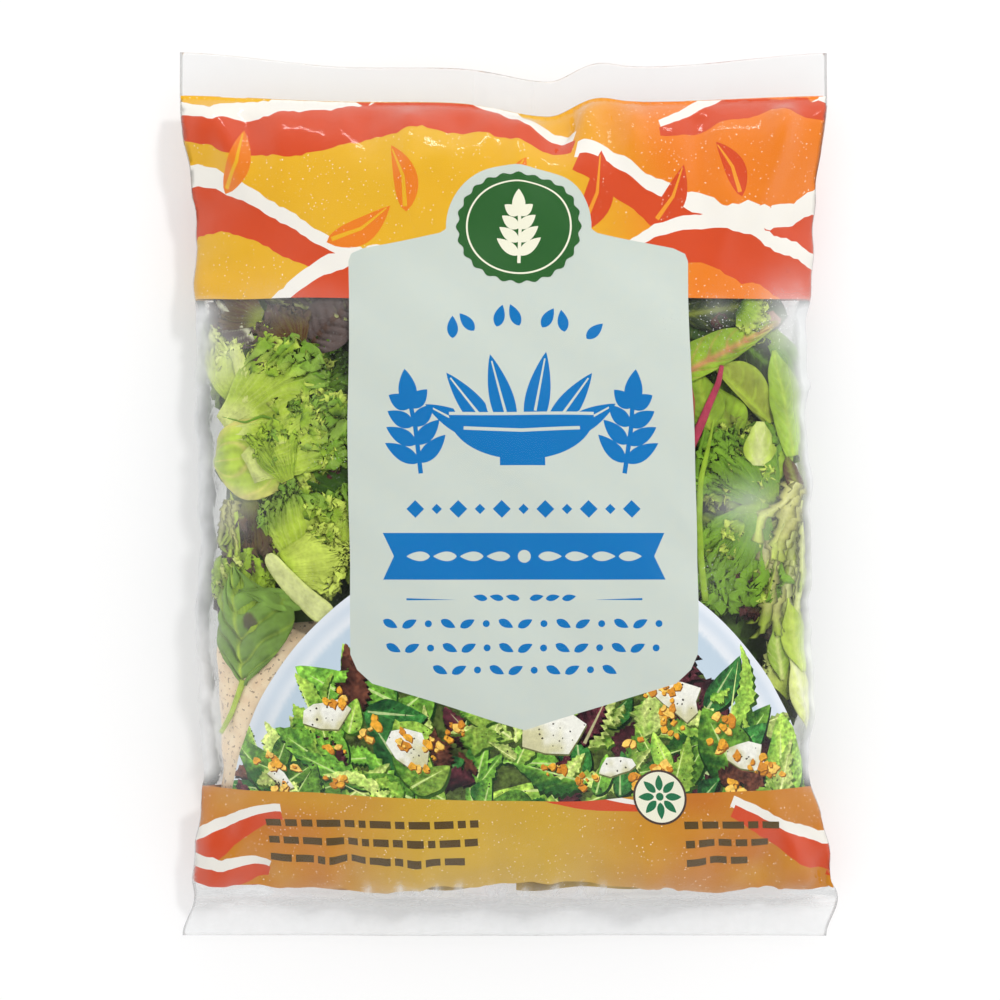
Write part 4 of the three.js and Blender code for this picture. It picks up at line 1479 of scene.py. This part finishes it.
def makeLeftLeaves(leaves):  # from the top of the left window down
    leaves.blade((-50.2, 58.1), (-81.2, 66.7), 3.2, (3, 6, 9, 10, 9, 7, 4, 1), (3, 6, 8, 8, 6, 4, 2, 1),
                 "mauve", "pale", quilt=1.8, ribWidth=0.5)
    leaves.blade((-68.6, 48.2), (-46.9, 70.0), 2.6, *plain(17), "mauve", "brown", quilt=2.2, waves=1.6,
                 pairs=9)
    leaves.blade((-81.2, 50.2), (-97.7, 65.3), 2.8, *plain(14), "mauve", "cream", quilt=0.3)
    leaves.redFan((-81.2, 59.4), (-99.7, 66.7), 1.8, 40, 1.6, 4, "brown", (70, 16), 0.22)
    leaves.redFan((-68.6, 48.2), (-81.2, 59.4), 2.4, 60, 2.2, 5, "purple")

    leaves.rib((-87.5, 31.0), (-91.1, 49.5), 2.2, 4.6, 0.6, "pale", "bright")
    leaves.fan((-92.4, 33.0), (-99.0, 55.4), 3.0, 30, 2.6, 5, "yellow", 9, 4.6, 0.3, grid=(84, 18), lobes=7)
    leaves.fan((-95.0, 23.1), (-60.4, 41.6), 1.9, 42, 3.4, 8, "green", 70, 6.2, 0.5, stalk=3.6,
               grid=(220, 34), lobes=15, begins=0.42)
    leaves.stem([(-94.7, 26.7), (-87.1, 24.8), (-81.2, 27.1), (-71.9, 24.1)], 1.9, (0.2, 0.7, 0.9, 0.2),
                "edge")
    leaves.fan((-78.5, 32.3), (-53.8, 48.2), 3.8, 50, 3.4, 7, "deepGreen", 16, 6, 0.5, grid=(120, 20))
    leaves.blade((-66.7, 15.8), (-99.3, 11.9), 2.1, (0.4, 6, 10.5, 12.5, 13.5, 14, 13.5, 12, 8.5, 0.5),
                 (0.4, 4, 8, 10.5, 12, 12.5, 12.5, 11.5, 8.5, 0.5), "lime", "cup", fold=0.03, quilt=0.5,
                 waves=0.4, pairs=2, grid=(60, 60), ribWidth=0.2, hem=0.45, streaks=0.4)
    leaves.fan((-87.1, 9.2), (-53.5, 25.7), 1.5, 24, 3.0, 5, "green", 24, 6, 0.45, grid=(150, 28), stalk=5)
    leaves.frills("flaps", (-85.8, 11.9), (-71.9, 24.1), 1.8, 50, 18, "green", 5.0, 0.3)
    leaves.blade((-68.6, 4.0), (-44.9, 19.1), 3.4, *plain(18), "deep", "edge", quilt=1.2)
    leaves.redFan((-63.4, -7.3), (-46.2, 9.2), 4.0, 50, 2.4, 6, "wine", (96, 18))
    leaves.redFan((-51.5, -20.5), (-58.7, -0.7), 5.0, 60, 2.4, 6, "wine", (96, 18))

    leaves.fan((-66.0, -24.4), (-72.6, 5.3), 2.3, 30, 3.0, 5, "green", 22, 5.4, 0.5, grid=(130, 30),
               stalk=8)
    leaves.fan((-58.7, -27.1), (-51.5, 2.6), 2.8, 20, 2.6, 4, "green", 12, 5, 0.5, grid=(90, 20))
    leaves.fan((-74.6, -23.1), (-51.5, -19.1), 1.5, 38, 2.4, 7, "yellowGreen", 18, 4.8, 0.35,
               grid=(140, 26), stalk=5)
    leaves.redFan((-86.5, 0.7), (-86.5, -22.4), 3.2, 42, 2.6, 7, "purple", (110, 20))
    leaves.frills("red", (-86.5, 0.7), (-86.5, -20.5), 2.6, 38, 12, "purple", 5, 0.3)
    leaves.blade((-68.6, -19.8), (-89.1, -14.5), 4.0, *plain(11), "deep", "edge")
    leaves.blade((-89.8, -20.5), (-93.1, 2.0), 1.8, *plain(4.6), "lime", "bright", quilt=0.2)
    leaves.straps((-93.1, -0.7), (-95.0, -22.4), 2.0, 6, "frisee", "lime", 3, 1.5)
    leaves.fan((-67.3, -36.3), (-66.7, -19.1), 2.4, 34, 1.0, 3, "bright", grid=(70, 18), lobes=4,
               teeth=0.03)
    leaves.rib((-79.2, -18.5), (-58.4, -39.6), 1.0, 6.2, 2.6, "rib", "pale", 0.25)

    leaves.fan((-86.5, -46.9), (-89.1, -17.8), 2.6, 30, 1.6, 4, "light", 5, 4.4, 0.6, grid=(110, 24),
               lobes=6, teeth=0.04)
    leaves.fan((-81.2, -35.6), (-97.0, -22.4), 3.2, 34, 1.6, 4, "yellow", 4, 4.6, 0.5, grid=(70, 16))
    leaves.blade((-88.4, -62.0), (-91.1, -22.6), 1.4, (0.6, 3.6, 6.0, 6.6, 4.6, 2.6, 0.3),
                 (0.6, 9, 15, 19.5, 19, 9, 0.3), "spinach", "lime", fold=0.03, quilt=3.2, waves=0.6,
                 pairs=5, grid=(80, 56), ribWidth=0.5, spot=(4.7, 21.1, 2.3))
    leaves.blade((-88.4, -30.4), (-64.7, -35.0), 0.8, (0.4, 1.5, 2.6, 3.2, 3.2, 2.4, 0.4),
                 (0.4, 1.6, 3.0, 3.8, 3.8, 2.8, 0.4), "spinach", "spinach", fold=0.1, quilt=1.0, pairs=3)
    leaves.stem([(-88.1, -60.1), (-89.8, -64.7), (-92.7, -71.3), (-96.4, -77.9)], 1.6, (2.4, 2.0, 1.8, 1.7),
                "lime")
    leaves.fan((-71.9, 5.3), (-79.9, 23.8), 0.9, 34, 1.5, 5, "light", 0, grid=(110, 22), teeth=0.2, lobes=7,
               veined=0.9)


def makeRightLeaves(leaves):
    leaves.blade((52.8, 38.3), (90.4, 58.1), 1.5, (5, 7, 8, 8, 7, 5, 3, 0.6),
                 (3, 3.6, 4, 4, 3.6, 2.8, 1.6, 0.4), "light", "pink", fold=0.06, quilt=1.2, pairs=6,
                 grid=(70, 36), ribWidth=1.1)
    leaves.blade((55.4, 60.1), (88.4, 65.3), 2.8, *plain(13), "shade", "olive", quilt=1.2)
    leaves.blade((60.1, 65.3), (73.3, 50.2), 4.6, *plain(16), "deep", "olive")
    leaves.fan((76.6, 63.4), (85.8, 58.7), 1.6, 60, 1.6, 3, "frill", 5, 4, 0.3, grid=(60, 14), lobes=5)
    leaves.redFan((68.6, 60.1), (71.9, 56.8), 1.2, 60, 1.0, 3, "wine", (40, 10))
    leaves.redFan((90.4, 60.7), (87.1, 57.4), 1.2, 60, 1.0, 3, "blush", (40, 10))
    leaves.blade((77.2, 52.8), (96.4, 37.0), 3.2, *plain(14), "shade", "edge", quilt=1.4)
    leaves.fan((88.1, 55.4), (98.3, 37.3), 2.4, 24, 1.8, 4, "deepGreen", 6, 5, 0.5, grid=(70, 14))
    leaves.stem([(70.6, 43.6), (69.3, 37.6), (66.0, 30.4), (63.4, 24.4), (60.1, 17.2)], 1.3,
                (1.5, 2.2, 2.8, 3.2), "magenta")
    leaves.stem([(60.1, 37.6), (61.1, 31.7), (60.7, 24.4)], 1.8, (0.9, 1.2, 1.0), "brownish")
    leaves.blade((67.3, 20.5), (62.0, 43.6), 3.0, *plain(13), "light", "lime", quilt=0.8)
    leaves.blade((77.2, 19.1), (67.3, 37.6), 3.4, *plain(13), "light", "olive", quilt=0.6)
    leaves.blade((90.4, 21.8), (68.6, 43.6), 2.2, (0.6, 1.2, 1.6, 1.8, 1.8, 1.4, 0.4),
                 (0.6, 2.5, 6, 9, 10, 8, 1), "olive", "lime", fold=0.1, quilt=0.4, pairs=5, ribWidth=0.7,
                 hem=0.5)
    leaves.blade((89.1, 22.4), (80.5, 48.2), 3.8, *plain(11), "haze", "olive", quilt=0.4)
    leaves.blade((95.4, 13.9), (88.4, 48.8), 1.0, (2.2, 4.2, 5.4, 5.6, 4.6, 3.0, 0.3),
                 (1.6, 3.8, 5.6, 6.4, 5.8, 4.0, 0.3), "light", "lime", fold=0.05, quilt=0.6, waves=0.3,
                 grid=(60, 30), ribWidth=0.5)
    leaves.blade((88.4, 4.0), (93.1, 31.0), 2.6, *plain(11), "light", "lime", quilt=0.4)
    leaves.blade((72.6, 9.2), (95.0, 22.4), 4.6, *plain(16), "shade", "deep")
    leaves.blade((82.5, 10.6), (83.2, 25.1), 0.8, (1.5, 4.4, 5.4, 5, 3.8, 2.8, 1.2),
                 (1.5, 4.8, 6.2, 6, 4.6, 3.0, 1.2), "lime", "rib", fold=-0.1, quilt=0.3, waves=0.3, pairs=2,
                 ribWidth=2.8, streaks=0.6)
    leaves.stem([(67.7, 25.7), (65.7, 16.5), (63.4, 5.9), (62.7, -7.3), (63.4, -20.5), (64.7, -33.7)], 1.2,
                (0.5, 1.6, 2.2, 2.4, 2.4), "light")
    leaves.stem([(64.7, 22.4), (62.4, 11.9), (61.4, -0.7)], 1.8, (0.8, 1.8, 2.0), "edge")

    leaves.fan((88.4, -3.3), (67.3, 20.5), 2.0, 40, 3.6, 9, "midGreen", 34, 5.4, 0.2, grid=(150, 26),
               begins=0.25)
    leaves.fan((84.5, -0.7), (68.0, -33.7), 2.0, 40, 3.8, 10, "midGreen", 46, 5.6, 0.25, grid=(150, 28),
               begins=0.22)
    leaves.fan((70.0, -7.3), (63.4, -33.7), 3.0, 34, 2.6, 5, "deepGreen", 8, 5, 0.5, grid=(80, 16))
    leaves.redFan((80.5, -14.5), (79.2, -26.4), 2.2, 30, 1.6, 4, "dark", (50, 12))
    leaves.redFan((85.8, -30.4), (75.9, -35.6), 2.2, 46, 2.2, 5, "dark", (70, 14))
    leaves.blade((95.7, 0.7), (93.1, 13.9), 1.6, *plain(6), "brown", "olive", quilt=0.6)
    leaves.redFan((88.4, -0.7), (85.8, -27.1), 3.4, 34, 2.4, 6, "purple", (96, 18))
    leaves.redFan((93.1, -13.9), (89.1, -43.6), 3.8, 34, 2.4, 6, "purple", (96, 18))
    leaves.frills("red", (89.8, -0.7), (87.1, -33.7), 2.6, 26, 12, "brown", 4.6, 0.2)
    leaves.straps((96.4, 4.6), (85.8, -22.4), 1.2, 6, "frisee", "bright", 12, 2.5)
    leaves.straps((97.4, -0.7), (91.7, -40.3), 1.8, 7, "pale", "lime", 20, 2.2)
    leaves.straps((86.5, -13.9), (88.4, -50.2), 2.0, 6, "frisee", "lime", 20, 2.2)
    leaves.straps((95.0, -20.5), (96.4, -53.5), 2.2, 6, "pale", "lime", 16, 2.2)
    leaves.blade((98.3, -57.4), (93.7, -33.0), 1.4, *plain(9), "lime", "bright", quilt=0.4)
    leaves.blade((91.7, -60.1), (89.8, -40.3), 2.4, *plain(9), "light", "pale", quilt=0.4)
    leaves.blade((99.7, -76.6), (95.0, -50.8), 1.6, *plain(8), "pale", "cream", quilt=0.4)
    leaves.fan((96.4, -66.7), (93.1, -46.9), 3.4, 40, 2.0, 5, "yellow", grid=(80, 16))


def makeFrontLeaves():  # the leaves that press on the front of the film
    names = {"frilly": "frillyLeaves", "flaps": "frillFlaps", "red": "redLeaves", "smooth": "smoothLeaves",
             "strips": "friseeStrips"}
    heaps = {key: Heap(True) for key in names}
    makeLeftLeaves(FrontLeaves(heaps, 31))
    makeRightLeaves(FrontLeaves(heaps, 62))
    for key, name in names.items():
        heaps[key].finish(name, glossyLeaf if key in ("red", "smooth") else softLeaf)


filling = {
    "spacing": 22.5, "uneven": 8, "underPrint": 0.3, "depth": (4.6, 8.5), "shading": 0.62,
    "clearSide": (100, 132), "grid": (40, 8), "bladeGrid": (28, 13), "bladeTones": ("spinach", "light", "edge"),
}
fillKinds = [  # up to a draw of: the heap, least and greatest length, spread, frill and kind
    (0.36, "green", 22, 34, 60, 3.0, "green"), (0.52, "green", 22, 32, 60, 2.6, "deepGreen"),
    (0.80, "smooth", 26, 38, 0, 0, None), (0.90, "red", 20, 28, 62, 3.0, "purple"),
    (1.00, "red", 20, 28, 62, 3.0, "wine"),
]


def underPrint(x, y):  # places that the opaque print hides
    banded = y > bands["topLow"] + 2 or y < bands["bottomHigh"] - 2
    onLabel = abs(x - label["middle"]) < 50 and -64 < y
    onPlate = math.hypot(x - plate["x"], y - plate["y"]) < plate["radius"] - 6
    besideSeam = backPanels["inner"] < halfTube - abs(x) < backPanels["outer"]
    onPanel = besideSeam and backPanels["low"] < y < backPanels["high"]
    return banded or onLabel or onPlate or onPanel


def overSachet(x, y):
    return abs(x - sachet["across"]) < 0.55 * sachet["width"] and y < sachet["along"] + 0.5 * sachet["length"]


def addFillLeaf(heaps, rng, place, choice):
    heap, least, greatest, spread, frill, kind = next(row[1:] for row in fillKinds if choice < row[0])
    if kind:
        leaf = fanLeaf(rng, rng.uniform(least, greatest), spread, frill, 8, kind, 3, filling["grid"])
    else:
        tone = leafColours[filling["bladeTones"][rng.integers(0, 3)]]
        length, width = rng.uniform(least, greatest), rng.uniform(15, 24)
        leaf = bladeLeaf(rng, length, *plain(width), tone, leafColours["lime"], grid=filling["bladeGrid"])
    heaps[heap].addSheet(place, leaf)


def makeFillLeaves():  # leaves over the whole inside of the film, at uneven depths
    rng = np.random.default_rng(77)
    heaps = {"green": Heap(), "smooth": Heap(), "red": Heap()}
    uneven, (sideFrom, sideTo) = filling["uneven"], filling["clearSide"]
    for along in np.arange(-112, 118, filling["spacing"]):
        for across in np.arange(-206, 214, filling["spacing"]):
            x, y = across + rng.uniform(-uneven, uneven), along + rng.uniform(-uneven, uneven)
            depth, turn, choice = rng.uniform(*filling["depth"]), rng.uniform(0, 360), rng.random()
            if rng.random() > (filling["underPrint"] if underPrint(x, y) else 1):
                continue
            if sideFrom < abs(x) < sideTo or overSachet(x, y):  # the sides stay clear, as does the sachet
                continue
            depth -= 2.5 * smooth(foldLine, foldLine + 24, abs(x))  # nearer the film on the back
            addFillLeaf(heaps, rng, (x, y, turn, depth, 1.0), choice)
    heaps["green"].finish("deepFrillyLeaves", softLeaf, shading=filling["shading"])
    heaps["smooth"].finish("deepSmoothLeaves", glossyLeaf, shading=filling["shading"])
    heaps["red"].finish("deepRedLeaves", glossyLeaf, shading=filling["shading"])


core = {
    "reach": 112, "rows": 60, "columns": 120, "width": 0.87, "length": 0.96, "height": 0.64, "lump": 0.09,
    "dark": srgb(40, 66, 26), "light": srgb(92, 124, 48),
}


def makeCore():  # the mass of leaves in the middle, as shares of the film's own form; its dark green is painted shade, as little light reaches so deep
    rows, count = np.linspace(-core["reach"], core["reach"], core["rows"]), core["columns"]
    columns = np.arange(count) / count * 2 * halfTube - halfTube
    across, along = np.tile(columns, len(rows)), np.repeat(rows, count)
    skin, side = smoothFilm(across, along), sideHeight(along)
    lump = 1 + core["lump"] * noise(across / 9, along / 9)
    height = side + (skin[:, 2] - side) * core["height"] * lump
    points = np.column_stack([skin[:, 0] * core["width"] * lump, along * core["length"], height])
    faces = tubeFaces(len(rows), count)
    faces.append(list(range(count))[::-1])
    faces.append(list(range((len(rows) - 1) * count, len(rows) * count)))
    # painted shade: dark green with random lighter patches
    tone = tinted(core["dark"], core["light"], 0.5 + 0.5 * noise(across / 13, along / 11))
    makePiece("leafCore", points, faces, softLeaf, tint=tone)
    print("leafCore ready")


sachet = {
    "across": -82, "along": -84, "width": 50, "length": 84, "crown": 8, "depth": 2.4, "turn": 4, "thick": 0.6,
    "pale": srgb(250, 228, 190), "warm": srgb(238, 208, 168), "crumb": srgb(110, 82, 66),
}


def sachetMaterial():  # a pale soft film with dark crumbs behind it
    n = Nodes("sachetFilm")
    crumbs = n.steps(n.grain(1.5, 2.0), 0.60, 0.66)
    warm = n.blend(n.steps(n.grain(4.0, 3.0), 0.3, 0.7), colour(sachet["pale"]), colour(sachet["warm"]))
    base = n.blend(n.math("MULTIPLY", crumbs, 0.7), warm, colour(sachet["crumb"]))
    crinkle = n.bump(n.grain(3.0, 3.0), 0.4, 0.6)
    shader = n.add("BsdfPrincipled", Base_Color=base, Roughness=0.3, IOR=1.5, Normal=crinkle)
    return n.finish(shader.outputs[0])


def makeSachet():  # a padded pouch of crumbs behind the lower left of the film
    heap = Heap()
    s = np.linspace(-1, 1, 52)[:, None]
    t = np.linspace(-1, 1, 34)[None, :]
    u, v = t * sachet["width"] / 2 + 0 * s, s * sachet["length"] / 2 + 0 * t
    seal = smooth(1.0, 0.86, np.abs(s))
    crown = sachet["crown"] * (1 - t**2) ** 0.45 * (1 - np.abs(s) ** 5) ** 0.5 * seal
    lumps = 0.8 * noise(u / 5, v / 5) * seal * (1 - t**4)
    ribs = 0.25 * np.sin(v * 3.2) * (1 - seal)
    place = (sachet["across"], sachet["along"], sachet["turn"], sachet["depth"], 1.0)
    tint = np.broadcast_to(sachet["pale"], (*u.shape, 3))
    heap.addSheet(place, (u, v, crown + lumps + ribs - sachet["crown"], tint), sachet["thick"])
    heap.finish("innerSachet", sachetMaterial(), "sachet")


softLeaf = leafMaterial("softLeaf", roughness=0.5, cell=1.3, glow=0.1)
glossyLeaf = leafMaterial("glossyLeaf", roughness=0.36, cell=2.2, glow=0.08)
makeFrontLeaves()
makeFillLeaves()
makeCore()
makeSachet()


# Floor, lights and camera

studio = {
    "floor": 0.62, "floorGlow": 0.36, "floorHalf": 3.0, "world": 0.86, "horizon": 0.95, "overhead": 0.03,
    "sensor": 36, "distance": 1.8, "frameWidth": 0.330, "middle": (-2.6, -0.7, 25),
}
lights = [  # name, place, target, width, height, power, and whether the film mirrors it
    ("key", (0.5, 0.75, 1.3), (0, 0, 0), 0.16, 0.16, 8.0, False),
    ("strip", (0.1, 1.5, 0.62), (0, 0.05, 0), 0.6, 0.08, 1.6, True),
]


def makeFloor():  # slightly luminous, so that it comes out white
    n = Nodes("paleFloor")
    shader = n.add("BsdfPrincipled", Base_Color=colour([studio["floor"]] * 3), Roughness=0.6)
    shader.inputs["Emission Color"].default_value = (1, 1, 1, 1)
    shader.inputs["Emission Strength"].default_value = studio["floorGlow"]
    floorMaterial = n.finish(shader.outputs[0])
    floorMaterial.cycles.emission_sampling = "NONE"
    mesh = bpy.data.meshes.new("floor")
    corners = np.array([(-1, -1, 0), (1, -1, 0), (1, 1, 0), (-1, 1, 0)]) * studio["floorHalf"]
    mesh.from_pydata(corners.tolist(), [], [(0, 1, 2, 3)])
    mesh.materials.append(floorMaterial)
    floor = bpy.data.objects.new("floor", mesh)
    bpy.context.scene.collection.objects.link(floor)


def makeWorld():  # white all round, but the film mirrors a dark ceiling
    world = bpy.data.worlds.new("studio")
    world.use_nodes = True
    tree = world.node_tree
    background, mirrored = tree.nodes["Background"], tree.nodes.new("ShaderNodeBackground")
    background.inputs["Strength"].default_value = studio["world"]
    background.inputs["Color"].default_value = mirrored.inputs["Color"].default_value = (1, 1, 1, 1)
    place, split = tree.nodes.new("ShaderNodeTexCoord"), tree.nodes.new("ShaderNodeSeparateXYZ")
    height, rays = tree.nodes.new("ShaderNodeMapRange"), tree.nodes.new("ShaderNodeLightPath")
    choose = tree.nodes.new("ShaderNodeMixShader")
    levels = {"From Min": 0.3, "From Max": 0.9, "To Min": studio["horizon"], "To Max": studio["overhead"]}
    for name, value in levels.items():
        height.inputs[name].default_value = value
    tree.links.new(place.outputs["Generated"], split.inputs[0])
    tree.links.new(split.outputs["Z"], height.inputs["Value"])
    tree.links.new(height.outputs[0], mirrored.inputs["Strength"])
    tree.links.new(rays.outputs["Is Glossy Ray"], choose.inputs[0])
    tree.links.new(background.outputs[0], choose.inputs[1])
    tree.links.new(mirrored.outputs[0], choose.inputs[2])
    tree.links.new(choose.outputs[0], tree.nodes["World Output"].inputs["Surface"])
    world.cycles.sampling_method = "NONE"  # one even white: the rays that reach it are enough
    bpy.context.scene.world = world


def makeCamera():  # looks straight down on the bag
    lens = bpy.data.cameras.new("camera")
    camera = bpy.data.objects.new("camera", lens)
    bpy.context.scene.collection.objects.link(camera)
    x, y, z = (value * metres for value in studio["middle"])
    camera.location = (x, y, z + studio["distance"])
    lens.sensor_width = studio["sensor"]
    lens.lens = studio["sensor"] * studio["distance"] / studio["frameWidth"]
    bpy.context.scene.camera = camera
    bpy.context.scene.view_settings.view_transform = "Standard"
    paths = bpy.context.scene.cycles  # light seldom turns more often than this between leaves and film
    paths.max_bounces, paths.diffuse_bounces, paths.glossy_bounces = 4, 2, 1


def addLight(name, place, target, width, height, power, mirrored):
    light = bpy.data.lights.new(name, "AREA")
    light.shape = "RECTANGLE"
    light.size, light.size_y, light.energy = width, height, power
    lamp = bpy.data.objects.new(name, light)
    lamp.location = place
    lamp.rotation_euler = (Vector(target) - Vector(place)).to_track_quat("-Z", "Y").to_euler()
    lamp.visible_glossy = mirrored
    bpy.context.scene.collection.objects.link(lamp)


makeFloor()
makeWorld()
for light in lights:
    addLight(*light)
makeCamera()
print("studio ready")
